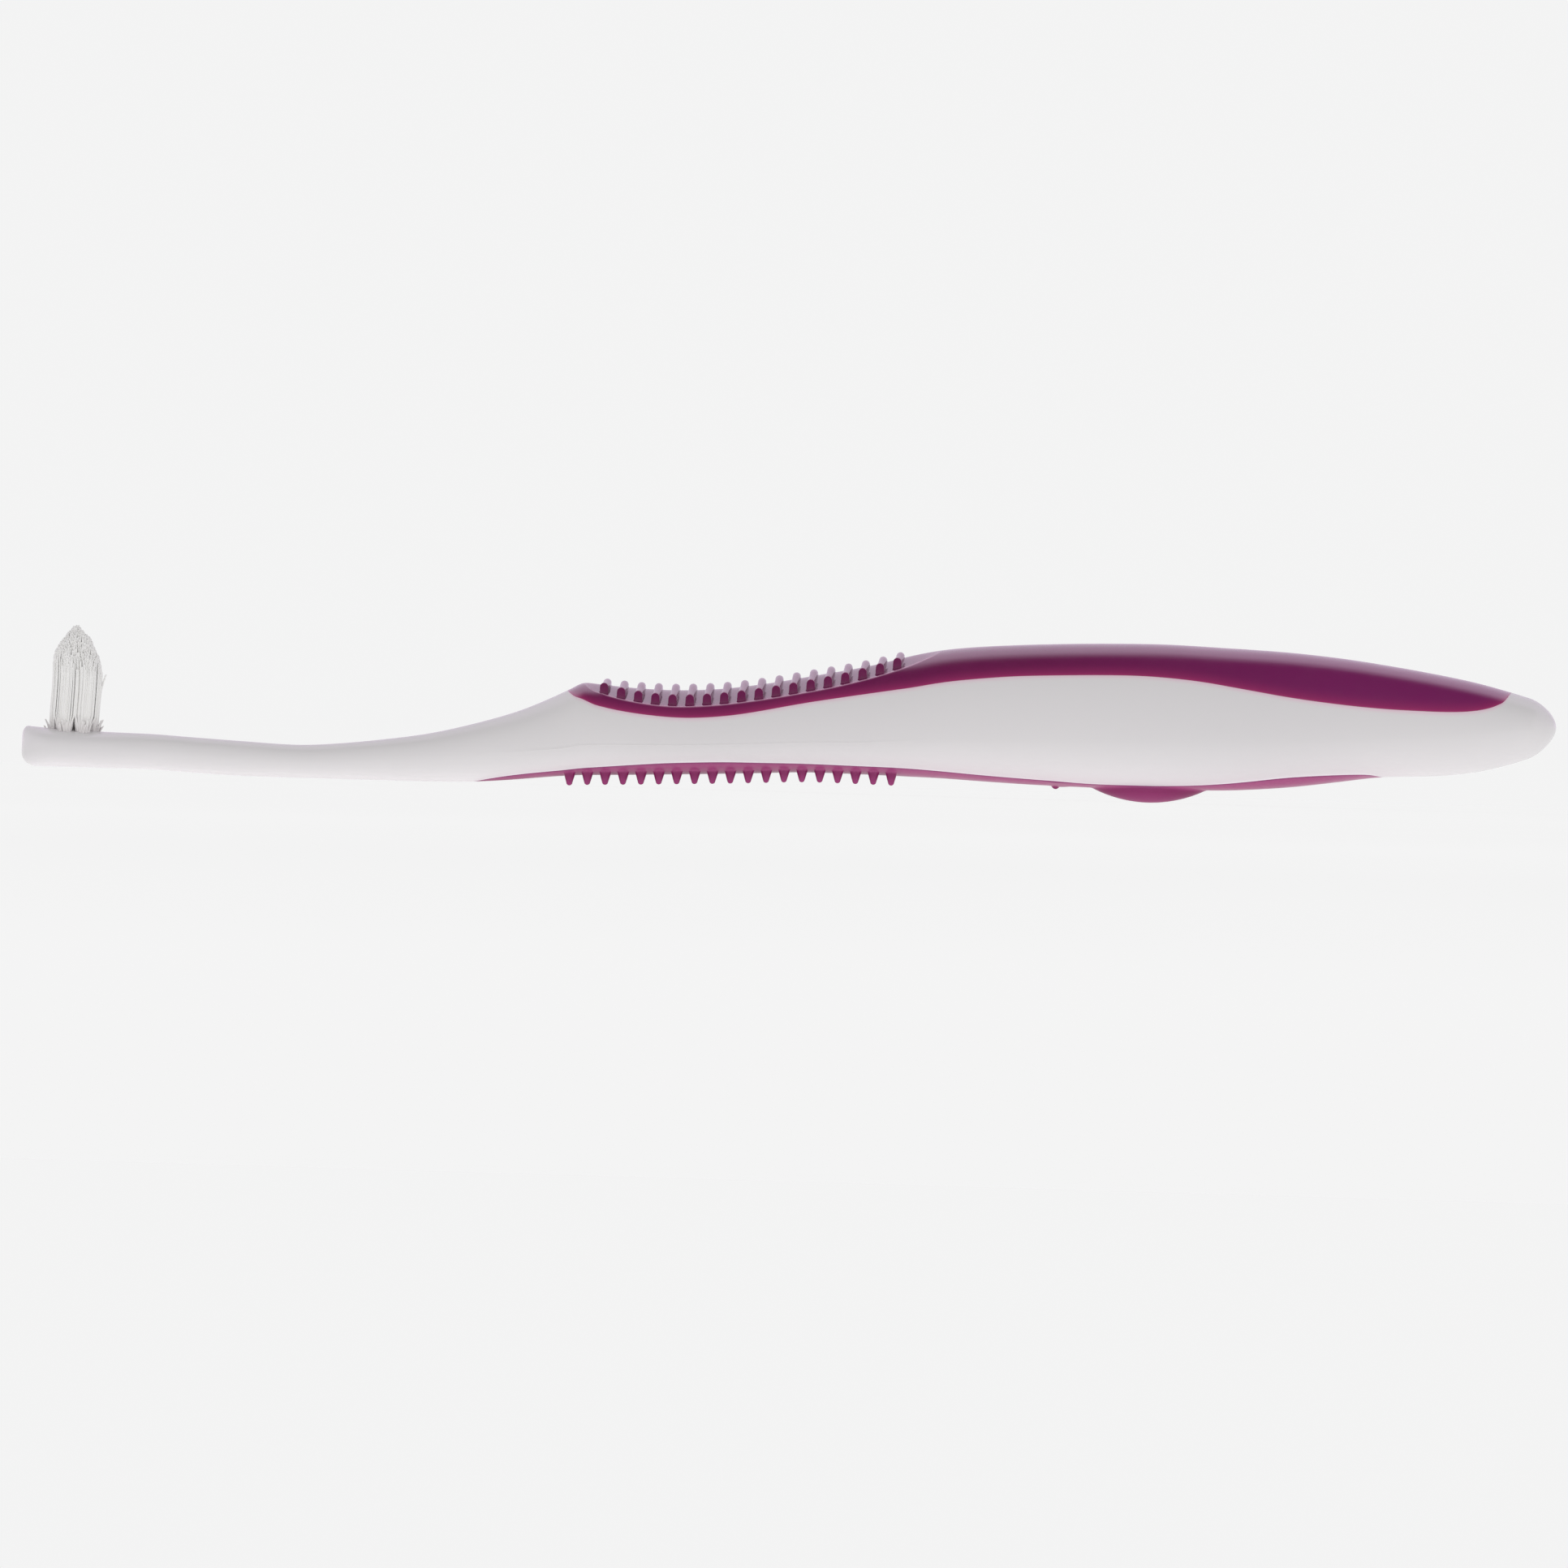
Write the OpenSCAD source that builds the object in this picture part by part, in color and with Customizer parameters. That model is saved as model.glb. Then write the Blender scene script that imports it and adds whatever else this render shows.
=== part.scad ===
// Single-tuft manual toothbrush, lying on its back with the bristles up.
// X runs from the nose to the tail, Y across, Z up from the table.
// The origin is on the table, under the middle of the brush.

/* [Overall] */
// Length from the nose to the tail
overall_l = 170; // [150:1:190]
// Height of the rear grip above the table
handle_h = 17.6; // [15:0.1:20]
// Width across the handle
handle_w = 13; // [11:0.1:15]
// Length over which the tail rounds off
tail_r = 3; // [2:0.1:4]

/* [Head] */
// Length of the head, nose to neck
head_l = 10.6; // [9.5:0.1:12.5]
// Width of the head
head_w = 8.1; // [7.4:0.1:9.5]
// Thickness of the head
head_t = 4.4; // [4:0.1:5.4]
// Gap under the head when the brush lies on a table
head_lift = 0.45; // [0.2:0.05:0.9]
// Length of the nose's rounded upper corner
nose_top_l = 0.7; // [0.6:0.1:1.5]
// Height of the nose's rounded upper corner
nose_top_h = 1.3; // [1:0.1:1.9]
// Length of the nose's rounded lower corner
nose_under_l = 1.6; // [0.8:0.1:2]
// Height of the nose's rounded lower corner
nose_under_h = 1.5; // [1:0.1:1.9]

/* [Neck] */
// Length of the neck, head to handle
neck_l = 41.5; // [36:0.5:46]
// Width of the neck
neck_w = 4.4; // [3.8:0.1:5.2]
// Thickness of the neck at its thinnest
neck_t = 3.62; // [3.2:0.02:4.4]

/* [Upper grip] */
// Bare handle in front of the upper grip
grip_lead = 8.2; // [6:0.1:9]
// Bare tail behind the upper grip
grip_tail = 5.1; // [4.4:0.1:8]
// Thickness of the upper grip
grip_t = 1; // [0.7:0.05:1.3]
// Length over which each tip of a grip reaches its full thickness
tip_l = 2.4; // [1.5:0.1:4]

/* [Thumb pad] */
// Grip in front of the thumb pad
pad_lead = 1.6; // [1:0.1:3]
// Length of the thumb pad
pad_l = 40.2; // [36:0.1:44]
// Width of the thumb pad
pad_w = 10.2; // [9:0.1:11]
// Rise of the pad's middle over its crisp edge
pad_crown = 1.85; // [1.4:0.05:2.1]
// Number of ribs across the pad
rib_count = 18; // [10:1:18]
// Distance between ribs
rib_pitch = 1.906; // [1.7:0.002:2]
// Distance from the pad's front to the first rib
rib_lead = 2.8; // [2:0.1:3.4]
// Width of a rib
rib_w = 0.92; // [0.8:0.02:1.3]
// Height of a rib over the middle of the pad
rib_h = 0.72; // [0.5:0.02:0.9]
// Height of a rib at its two ends
rib_end_h = 1.2; // [0.9:0.02:1.4]
// Bare pad between a rib's end and the crisp edge
rib_margin = 0.35; // [0.2:0.05:0.7]
// How far the middle of a rib lies behind its two ends
rib_bow = 0.35; // [0:0.05:0.5]

/* [Lower grip] */
// How far the lower grip reaches forward under the neck
strip_lead = 1.8; // [1:0.1:3]
// Bare underside behind the lower grip
strip_tail = 19.1; // [16:0.1:24]
// Thickness of the lower grip
strip_t = 0.9; // [0.7:0.05:1.2]
// Number of fins under the grip
fin_count = 19; // [10:1:19]
// Distance between fins
fin_pitch = 1.981; // [1.8:0.002:2.1]
// Distance from the strip's front to the first fin
fin_lead = 10.5; // [9:0.1:12]
// Span of a fin across the handle
fin_span = 6.8; // [5:0.1:7.4]
// Width of a fin at its root
fin_root_w = 1.12; // [1:0.02:1.4]
// Width of a fin at its tip
fin_tip_w = 0.66; // [0.5:0.02:0.8]
// How far a fin stands down
fin_h = 1.1; // [0.8:0.02:1.3]

/* [Lens] */
// Length of the raised lens under the rear of the grip
lens_l = 12.6; // [10:0.1:14]
// Width of the lens
lens_w = 5; // [4:0.1:5.6]
// How far the lens stands down
lens_h = 1.48; // [1:0.02:1.6]
// Distance from the tail to the lens's middle
lens_tail = 45; // [42:0.1:50]
// Distance from the tail to the mark left by the moulding gate
gate_tail = 55.3; // [54:0.1:58]
// Width of the gate mark
gate_d = 0.9; // [0.6:0.1:1.2]
// How far the gate mark stands down
gate_h = 0.35; // [0.2:0.05:0.5]

/* [Tufts] */
// Number of tufts round the middle one
ring_tufts = 6; // [5:1:6]
// Distance between tuft centres
tuft_pitch = 1.93; // [1.9:0.01:2.1]
// Distance from the nose to the middle tuft
tuft_x = 5.7; // [5:0.1:6.4]
// Diameter of a tuft hole
hole_d = 1.7; // [1.5:0.02:1.74]
// Depth of a tuft hole
hole_depth = 3; // [2.6:0.05:3.3]
// Clearance round a tuft in its hole
tuft_clearance = 0.02; // [0.01:0.01:0.05]
// Height of the trimmed tip over the head
tuft_h = 11.7; // [9:0.1:13]
// Share by which the bristles spread at the full height
splay_share = 0.06; // [0.05:0.01:0.25]
// Thickness of a bristle
bristle_d = 0.16; // [0.12:0.01:0.17]
// Rings of bristles round the middle one of a tuft
bristle_rings = 4; // [2:1:4]

/* [Anchors] */
// Length of an anchor plate
anchor_l = 1.95; // [1.85:0.01:2.05]
// Height of an anchor plate
anchor_h = 1.35; // [1:0.05:1.6]
// Thickness of an anchor plate
anchor_t = 0.25; // [0.2:0.01:0.3]
// Turn of the anchor plates from the brush's length
anchor_turn = 30; // [25:1:35]

/* [Hidden] */
handle_x = head_l + neck_l;
grip_from = handle_x + grip_lead;
grip_to = overall_l - grip_tail;
pad_from = grip_from + pad_lead;
pad_to = pad_from + pad_l;
strip_from = handle_x - strip_lead;
strip_to = overall_l - strip_tail;
lens_x = overall_l - lens_tail;
gate_x = overall_l - gate_tail;
// Length behind the pad over which the points of its crisp edge spread down the side
pad_fade_l = pad_l / 2;

// A place along the brush is a zone's number plus the share of that zone.
zone_ends = [0, head_l, handle_x, pad_from, pad_to, overall_l];

// Rows of place, top, underside, half width, widest height and squareness.
// Tops and undersides are shares of the zone's own thickness, half widths of its
// own half width, and the widest height is a share of the way from under to top.
head_shares = [
    [0.00, 1.020, 0, 1.00, 0.50, 2.6],
    [0.27, 0.962, 0, 1.00, 0.50, 2.6],
    [0.55, 0.941, 0, 0.99, 0.50, 2.6],
    [0.74, 0.918, 0, 0.88, 0.50, 2.5],
    [0.90, 0.902, 0, 0.71, 0.50, 2.4]
];
neck_shares = [
    [1.00, 1.215, 0.126, 1.17, 0.50, 2.3],
    [1.06, 1.212, 0.133, 1.03, 0.50, 2.2],
    [1.20, 1.138, 0.061, 1.00, 0.50, 2.2],
    [1.35, 1.058, 0.003, 1.00, 0.50, 2.2],
    [1.48, 0.998, 0.000, 1.02, 0.50, 2.2],
    [1.60, 1.094, 0.000, 1.06, 0.50, 2.2],
    [1.72, 1.265, 0.000, 1.14, 0.50, 2.2],
    [1.82, 1.442, 0.002, 1.25, 0.50, 2.2],
    [1.92, 1.713, 0.018, 1.42, 0.49, 2.2]
];
handle_shares = [
    [2.00, 0.406, 0.015, 0.530, 0.455, 2.2],
    [2.30, 0.461, 0.030, 0.608, 0.405, 2.2],
    [2.60, 0.534, 0.049, 0.690, 0.350, 2.2],
    [2.85, 0.603, 0.062, 0.755, 0.325, 2.2],
    [3.01, 0.652, 0.069, 0.805, 0.325, 2.2],
    [3.05, 0.645, 0.072, 0.838, 0.332, 2.2],
    [3.14, 0.627, 0.079, 0.892, 0.344, 2.2],
    [3.25, 0.620, 0.089, 0.938, 0.347, 2.2],
    [3.36, 0.632, 0.099, 0.962, 0.345, 2.2],
    [3.50, 0.675, 0.114, 0.977, 0.330, 2.2],
    [3.64, 0.738, 0.128, 0.985, 0.310, 2.2],
    [3.80, 0.813, 0.124, 0.992, 0.295, 2.2],
    [3.92, 0.889, 0.119, 0.996, 0.295, 2.2],
    [4.00, 0.926, 0.115, 1.000, 0.300, 2.2],
    [4.06, 0.952, 0.104, 1.000, 0.308, 2.2],
    [4.16, 0.978, 0.090, 1.000, 0.325, 2.2],
    [4.27, 0.995, 0.084, 1.000, 0.338, 2.2],
    [4.35, 1.000, 0.084, 0.995, 0.344, 2.2],
    [4.45, 0.989, 0.089, 0.975, 0.352, 2.2],
    [4.55, 0.974, 0.115, 0.940, 0.353, 2.2],
    [4.65, 0.943, 0.166, 0.890, 0.353, 2.2],
    [4.72, 0.909, 0.205, 0.850, 0.365, 2.2],
    [4.80, 0.863, 0.218, 0.800, 0.410, 2.2],
    [4.87, 0.814, 0.250, 0.745, 0.445, 2.1],
    [4.93, 0.756, 0.311, 0.680, 0.480, 2.1],
    [4.97, 0.712, 0.366, 0.620, 0.500, 2.1],
    [5.00, 0.676, 0.415, 0.560, 0.500, 2.1]
];

// Upper grip's lower edge: share along the grip, and share of the way from the
// widest height, 0, to the top of the section, 1.
grip_edge_shares = [
    [0.000, 1.00],
    [0.009, 0.82],
    [0.018, 0.72],
    [0.035, 0.61],
    [0.055, 0.52],
    [0.088, 0.45],
    [0.120, 0.435],
    [0.173, 0.455],
    [0.225, 0.510],
    [0.276, 0.560],
    [0.330, 0.605],
    [0.380, 0.632],
    [0.430, 0.655],
    [0.482, 0.672],
    [0.585, 0.670],
    [0.662, 0.632],
    [0.714, 0.565],
    [0.766, 0.485],
    [0.818, 0.425],
    [0.870, 0.382],
    [0.922, 0.376],
    [0.950, 0.400],
    [0.973, 0.476],
    [0.990, 0.665],
    [1.000, 1.00]
];

// Lower grip's upper edge: share along the strip, and share of the way from the
// widest height, 0, to the underside of the section, 1.
strip_edge_shares = [
    [0.000, 1.00],
    [0.022, 0.90],
    [0.050, 0.83],
    [0.100, 0.80],
    [0.140, 0.735],
    [0.175, 0.673],
    [0.215, 0.615],
    [0.263, 0.603],
    [0.317, 0.660],
    [0.370, 0.725],
    [0.460, 0.765],
    [0.530, 0.840],
    [0.630, 0.895],
    [0.690, 0.934],
    [0.740, 0.934],
    [0.790, 0.912],
    [0.845, 0.850],
    [0.900, 0.795],
    [0.950, 0.840],
    [0.980, 0.900],
    [1.000, 1.00]
];

// Thumb pad: share along the pad, then the depth of its crisp edge below the
// crown as a share of pad_crown, and its half width as a share of pad_w / 2.
pad_shares = [
    [0.000, 0.00, 0.00],
    [0.016, 0.31, 0.45],
    [0.050, 0.54, 0.68],
    [0.100, 0.72, 0.84],
    [0.180, 0.90, 0.96],
    [0.260, 1.00, 1.00],
    [0.400, 0.95, 1.00],
    [0.550, 0.92, 0.99],
    [0.660, 0.92, 0.96],
    [0.770, 0.78, 0.88],
    [0.860, 0.66, 0.76],
    [0.925, 0.54, 0.61],
    [0.970, 0.31, 0.44],
    [1.000, 0.00, 0.00]
];

// Trim of the bristles: share of the tuft cluster's radius, and share of tuft_h.
trim_shares = [
    [0.00, 1.000],
    [0.25, 0.945],
    [0.60, 0.825],
    [0.84, 0.687],
    [0.95, 0.520],
    [1.00, 0.400]
];

// Cut past a face, so that two faces never coincide
overrun = 0.3;
// Share of a grip's thickness to which ribs, fins and the lens are rooted in it
root_share = 0.65;
// Share of the lower grip's thickness by which a fin's ends may rise off its middle
fin_rise_share = 0.5;
// Depth to which the bristles run down into their own plug
bristle_root = 0.3;
// Least wall of the plug left outside the outermost bristles
bristle_margin = 0.04;
// Least distance between two stations of the handle
least_step = 0.1;
// Share of the neck's length over which the head's stations run on
shoulder_share = 0.08;

nose_steps = 6;
shoulder_steps = 6;
neck_steps = 8;
body_steps = 30;
tail_steps = 5;
tip_steps = 3;
grip_arc_steps = 3;
crown_steps = 3;
side_steps = 7;
strip_arc_steps = 4;
rib_pieces = 4;
rib_crest_steps = 4;
dome_steps = 4;
fin_fn = 6;
hole_fn = 32;
lens_fn = 32;
gate_fn = 8;
bristle_sides = 3;
hex_sides = 6;

shoulder_to = head_l + shoulder_share * neck_l;
tuft_count = ring_tufts + 1;
tuft_names = [for (i = [1 : tuft_count]) str("tuft_", i)];
anchor_names = [for (i = [1 : tuft_count]) str("anchor_", i)];

core_colour = [0.84, 0.83, 0.83];
upper_colour = [0.42, 0.15, 0.31];
lower_colour = [0.66, 0.33, 0.5];
bristle_colour = [0.9, 0.89, 0.87];
anchor_colour = [0.75, 0.74, 0.7];

// Distance along the brush of a place
function along(place) =
    let (zone = min(floor(place), len(zone_ends) - 2))
    zone_ends[zone] + (place - zone) * (zone_ends[zone + 1] - zone_ends[zone]);

// The handle's own rows in millimetres: place, top, underside, half width, widest
// height as a share, squareness
outline = concat(
    [for (r = head_shares)
        [along(r[0]), head_lift + r[1] * head_t, head_lift + r[2] * head_t, r[3] * head_w / 2, r[4], r[5]]],
    [for (r = neck_shares) [along(r[0]), r[1] * neck_t, r[2] * neck_t, r[3] * neck_w / 2, r[4], r[5]]],
    [for (r = handle_shares)
        [along(r[0]), r[1] * handle_h, r[2] * handle_h, r[3] * handle_w / 2, r[4], r[5]]]
);

// Slope of a table's column between two rows
function rise(table, column, i) =
    (table[i + 1][column] - table[i][column]) / (table[i + 1][0] - table[i][0]);

// Slope at a row, level at a peak, so that the curve never overshoots its rows
function lean(table, column, i) =
    let (
        last = len(table) - 1,
        before = rise(table, column, max(i - 1, 0)),
        after = rise(table, column, min(i, last - 1))
    )
    before * after <= 0 ? 0 : 2 * before * after / (before + after);

function row_before(table, x, low, high) =
    high - low <= 1 ? low :
    let (middle = floor((low + high) / 2))
    table[middle][0] <= x ? row_before(table, x, middle, high) : row_before(table, x, low, middle);

// Smooth curve through a table's rows
function smooth(table, column, x) =
    let (
        at = min(max(x, table[0][0]), table[len(table) - 1][0]),
        i = row_before(table, at, 0, len(table) - 1),
        step = table[i + 1][0] - table[i][0],
        u = (at - table[i][0]) / step,
        from_value = table[i][column],
        to_value = table[i + 1][column]
    )
    from_value * (1 + 2 * u) * (1 - u) * (1 - u)
    + to_value * u * u * (3 - 2 * u)
    + step * lean(table, column, i) * u * (1 - u) * (1 - u)
    - step * lean(table, column, i + 1) * u * u * (1 - u);

// Quarter circle that rounds an end off, from 0 at the end to 1
function swell(u) = u >= 1 ? 1 : sqrt(1 - pow(1 - max(u, 0), 2));

tail_z = (smooth(outline, 1, overall_l) + smooth(outline, 2, overall_l)) / 2;

function tail_swell(x) = swell((overall_l - x) / tail_r);

function top_z(x) =
    let (z = smooth(outline, 1, x) - nose_top_h * (1 - swell(x / nose_top_l)))
    tail_z + (z - tail_z) * tail_swell(x);

function under_z(x) =
    let (z = smooth(outline, 2, x) + nose_under_h * (1 - swell(x / nose_under_l)))
    tail_z + (z - tail_z) * tail_swell(x);

function half_w(x) = smooth(outline, 3, x) * swell(2 * x / head_w) * tail_swell(x);

function wide_z(x) = under_z(x) + smooth(outline, 4, x) * (top_z(x) - under_z(x));

function square_power(x) = smooth(outline, 5, x);

// Thumb pad's crisp edge
function pad_share(x) = (x - pad_from) / pad_l;
function on_pad(x) = x > pad_from && x < pad_to;
function pad_drop(x) = on_pad(x) ? pad_crown * smooth(pad_shares, 1, pad_share(x)) : 0;
function pad_half(x) = on_pad(x) ? pad_w / 2 * smooth(pad_shares, 2, pad_share(x)) : 0;

// Top that the section's sides aim at. The pad is scooped out of it.
function full_top(x) =
    !on_pad(x) ? top_z(x) :
    let (n = square_power(x), y = pad_half(x) / half_w(x))
    wide_z(x) + (top_z(x) - pad_drop(x) - wide_z(x)) / pow(1 - pow(y, n), 1 / n);

// Point of a section: from 90 at its top through 0 at its widest to -90 underneath,
// drawn in by a depth
function section_point(x, angle, depth) =
    let (
        n = square_power(x),
        top = depth > 0 ? top_z(x) - depth : full_top(x),
        reach = angle > 0 ? top - wide_z(x) : wide_z(x) - under_z(x) - depth
    )
    [
        (half_w(x) - depth) * pow(abs(cos(angle)), 2 / n),
        wide_z(x) + sign(angle) * reach * pow(abs(sin(angle)), 2 / n)
    ];

// Angle at which a section reaches a share of its height
function angle_of(share, n) = asin(pow(min(max(share, 0), 1), n / 2));

function grip_angle(x) =
    x <= grip_from || x >= grip_to ? 90 :
    angle_of(smooth(grip_edge_shares, 1, (x - grip_from) / (grip_to - grip_from)), square_power(x));

function strip_angle(x) =
    x <= strip_from || x >= strip_to ? -90 :
    -angle_of(smooth(strip_edge_shares, 1, (x - strip_from) / (strip_to - strip_from)), square_power(x));

function grip_depth(x) = grip_t * swell((x - grip_from) / tip_l) * swell((grip_to - x) / tip_l);
function strip_depth(x) = strip_t * swell((x - strip_from) / tip_l) * swell((strip_to - x) / tip_l);

// Angle of the pad's crisp edge, or of a plain point of the section off the pad
function crease_angle(x) =
    on_pad(x) ? angle_of((top_z(x) - pad_drop(x) - wide_z(x)) / (full_top(x) - wide_z(x)), square_power(x)) :
    let (off = x <= pad_from ? (pad_from - x) / pad_lead : (x - pad_to) / pad_fade_l)
    90 - (90 - grip_angle(x)) / 2 * min(off, 1);

// Height of the pad's crown beside the middle
function pad_z(x, y) = top_z(x) - pad_drop(x) * pow(abs(y) / pad_half(x), 2);

// Half of the upper grip's outer face, from the top down to its edge
function grip_outer(x) =
    let (crease = crease_angle(x), edge = grip_angle(x))
    concat(
        [for (i = [0 : crown_steps - 1])
            on_pad(x)
            ? let (y = pad_half(x) * i / crown_steps) [y, pad_z(x, y)]
            : section_point(x, 90 - (90 - crease) * i / crown_steps, 0)],
        [for (i = [0 : grip_arc_steps]) section_point(x, crease - (crease - edge) * i / grip_arc_steps, 0)]
    );

// Half of the floor that the upper grip lies on, from the top down to its edge
function grip_inner(x) =
    let (edge = grip_angle(x), steps = grip_arc_steps + crown_steps)
    [for (i = [0 : steps]) section_point(x, 90 - (90 - edge) * i / steps, grip_depth(x))];

// Half of the lower grip's outer face or floor, from its edge to the underside
function strip_face(x, depth) =
    let (edge = strip_angle(x))
    [for (i = [0 : strip_arc_steps]) section_point(x, edge - (90 + edge) * i / strip_arc_steps, depth)];

// Half of the bare side between the two grips
function bare_side(x) =
    let (upper = grip_angle(x), lower = strip_angle(x))
    [for (i = [0 : side_steps]) section_point(x, upper - (upper - lower) * i / side_steps, 0)];

function reversed(list) = [for (i = [len(list) - 1 : -1 : 0]) list[i]];

// Whole ring from the half with the greater Y, which starts and ends on the middle
function mirrored(x, half) =
    concat(
        [for (p = half) [x - overall_l / 2, p[0], p[1]]],
        [for (i = [len(half) - 2 : -1 : 1]) [x - overall_l / 2, -half[i][0], half[i][1]]]
    );

function spread(from, to, steps) = [for (i = [0 : steps]) from + (to - from) * i / steps];
function rounded(from, to, steps) = [for (i = [0 : steps]) from + (to - from) * (1 - cos(90 * i / steps))];

function sorted(list) =
    len(list) <= 1 ? list :
    let (pivot = list[floor(len(list) / 2)])
    concat(
        sorted([for (v = list) if (v < pivot) v]),
        [pivot],
        sorted([for (v = list) if (v > pivot) v])
    );

// The ends of the grips and the pad are kept exactly, and stations too close to one
// of them are left out.
fixed_stations = [0, strip_from, grip_from, pad_from, pad_to, strip_to, grip_to, overall_l];
free_stations = concat(
    rounded(0, head_w / 2, nose_steps),
    spread(head_w / 2, shoulder_to, shoulder_steps),
    spread(shoulder_to, strip_from, neck_steps),
    spread(strip_from, overall_l - tail_r, body_steps),
    rounded(overall_l, overall_l - tail_r, tail_steps),
    rounded(strip_from, strip_from + tip_l, tip_steps),
    rounded(grip_from, grip_from + tip_l, tip_steps),
    rounded(pad_from, pad_from + tip_l, tip_steps),
    rounded(pad_to, pad_to - tip_l, tip_steps),
    rounded(strip_to, strip_to - tip_l, tip_steps),
    rounded(grip_to, grip_to - tip_l, tip_steps)
);
function near(x, list) = len([for (v = list) if (abs(v - x) < least_step) v]) > 0;
mixed_stations = sorted([for (x = free_stations) if (!near(x, fixed_stations)) x]);
thinned_stations = [
    for (i = [0 : len(mixed_stations) - 1])
        if (i == 0 || mixed_stations[i] - mixed_stations[i - 1] >= least_step) mixed_stations[i]
];
stations = sorted(concat(fixed_stations, thinned_stations));

// Closed solid through a list of rings with as many points each. An end ring that
// has shrunk to a point or a line needs no cap. The quads of a skin are halved along
// their other diagonal, so that it lies on its floor triangle for triangle.
module loft(rings, skin = false) {
    n = len(rings[0]);
    points = [for (ring = rings, p = ring) p];
    corners = [
        for (j = [0 : len(rings) - 2], i = [0 : n - 1])
            let (a = j * n + i, b = j * n + (i + 1) % n)
            each skin ? [[a, b, a + n], [b, b + n, a + n]] : [[a, b, b + n], [a, b + n, a + n]]
    ];
    polyhedron(points = points, faces = [for (f = corners) if (is_whole([for (i = f) points[i]])) f]);
}

// Whether a triangle's three corners all differ
function is_whole(t) = t[0] != t[1] && t[1] != t[2] && t[2] != t[0];

// X of a distance from the nose
function framed(x) = x - overall_l / 2;

// Middle of each tuft: distance from the nose, and from the middle of the brush
tuft_places = concat(
    [[tuft_x, 0]],
    [for (i = [0 : ring_tufts - 1])
        [tuft_x + tuft_pitch * cos(360 * i / ring_tufts), tuft_pitch * sin(360 * i / ring_tufts)]]
);
plug_r = hole_d / 2 - tuft_clearance;
cluster_r = tuft_pitch + plug_r;
head_face_z = top_z(tuft_x);
hole_floor_z = head_face_z - hole_depth;

// Height of the head's crowned face beside its middle
function face_z(x, y) =
    let (n = square_power(x))
    wide_z(x) + (top_z(x) - wide_z(x)) * pow(1 - pow(abs(y) / half_w(x), n), 1 / n);

module handle_core() {
    color(core_colour)
    difference() {
        loft([for (x = stations)
            mirrored(x, concat(grip_inner(x), bare_side(x), strip_face(x, strip_depth(x))))]);
        for (i = [0 : tuft_count - 1]) tuft_hole(i);
    }
}

module tuft_hole(i) {
    translate([framed(tuft_places[i][0]), tuft_places[i][1], hole_floor_z])
        cylinder(d = hole_d, h = hole_depth + overrun, $fn = hole_fn);
    anchor_plate(i);
}

module anchor_plate(i) {
    translate([framed(tuft_places[i][0]), tuft_places[i][1], hole_floor_z + anchor_h / 2])
        rotate(anchor_turn)
        cube([anchor_l, anchor_t, anchor_h], center = true);
}

module upper_grip() {
    rows = [for (x = stations) if (x >= grip_from && x <= grip_to) x];
    color(upper_colour)
    union() {
        loft([for (x = rows) closed_skin(x, grip_outer(x), grip_inner(x))], skin = true);
        for (i = [0 : rib_count - 1]) pad_rib(pad_from + rib_lead + i * rib_pitch);
    }
}

// Ring of a skin: its upper face from the middle to the edge, then back along its lower
function closed_skin(x, upper, lower) =
    let (
        first = [for (p = upper) [framed(x), p[0], p[1]]],
        second = [for (p = lower) [framed(x), p[0], p[1]]]
    )
    concat(
        first,
        reversed(second),
        [for (i = [1 : len(second) - 1]) [second[i][0], -second[i][1], second[i][2]]],
        [for (i = [len(first) - 1 : -1 : 1]) [first[i][0], -first[i][1], first[i][2]]]
    );

module pad_rib(x) {
    reach = pad_half(x) - rib_margin;
    for (i = [0 : rib_pieces - 1])
        rib_piece(x, reach, reach * (2 * i / rib_pieces - 1), reach * (2 * (i + 1) / rib_pieces - 1));
}

// Stretch of a rib between two places across the pad
module rib_piece(x, reach, from, to) {
    n = rib_crest_steps + 3;
    points = concat(rib_profile(x, reach, from), rib_profile(x, reach, to));
    ends = [[for (i = [n - 1 : -1 : 0]) i], [for (i = [n : 2 * n - 1]) i]];
    sides = [for (i = [0 : n - 1]) [i, (i + 1) % n, n + (i + 1) % n, n + i]];
    hull()
        polyhedron(points = points, faces = concat(ends, sides));
}

// Profile of a rib with a round crest, higher and further forward towards the rib's ends
function rib_profile(x, reach, y) =
    let (
        outward = pow(y / reach, 2),
        place = x - rib_bow * outward,
        crest_r = rib_w / 2,
        foot = pad_z(place, y) - root_share * grip_t,
        crest = pad_z(place, y) + rib_h + (rib_end_h - rib_h) * outward - crest_r
    )
    concat(
        [[framed(place) - crest_r, y, foot], [framed(place) + crest_r, y, foot]],
        [for (i = [0 : rib_crest_steps])
            let (a = 180 * i / rib_crest_steps)
            [framed(place) + crest_r * cos(a), y, crest + crest_r * sin(a)]]
    );

module lower_grip() {
    rows = [for (x = stations) if (x >= strip_from && x <= strip_to) x];
    color(lower_colour)
    union() {
        loft([for (x = rows) strip_ring(x)], skin = true);
        for (i = [0 : fin_count - 1]) under_fin(strip_from + fin_lead + i * fin_pitch);
        under_lens();
        gate_mark();
    }
}

// Ring of the lower grip, its floor above and its outer face below
function strip_ring(x) = closed_skin(x, reversed(strip_face(x, strip_depth(x))), reversed(strip_face(x, 0)));

// Half span of a fin, shorter where the underside is so narrow that it curves away
function fin_reach(x) =
    let (n = square_power(x), share = fin_rise_share * strip_t / (wide_z(x) - under_z(x)))
    min(fin_span / 2, half_w(x) * pow(1 - pow(1 - share, n), 1 / n));

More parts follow.
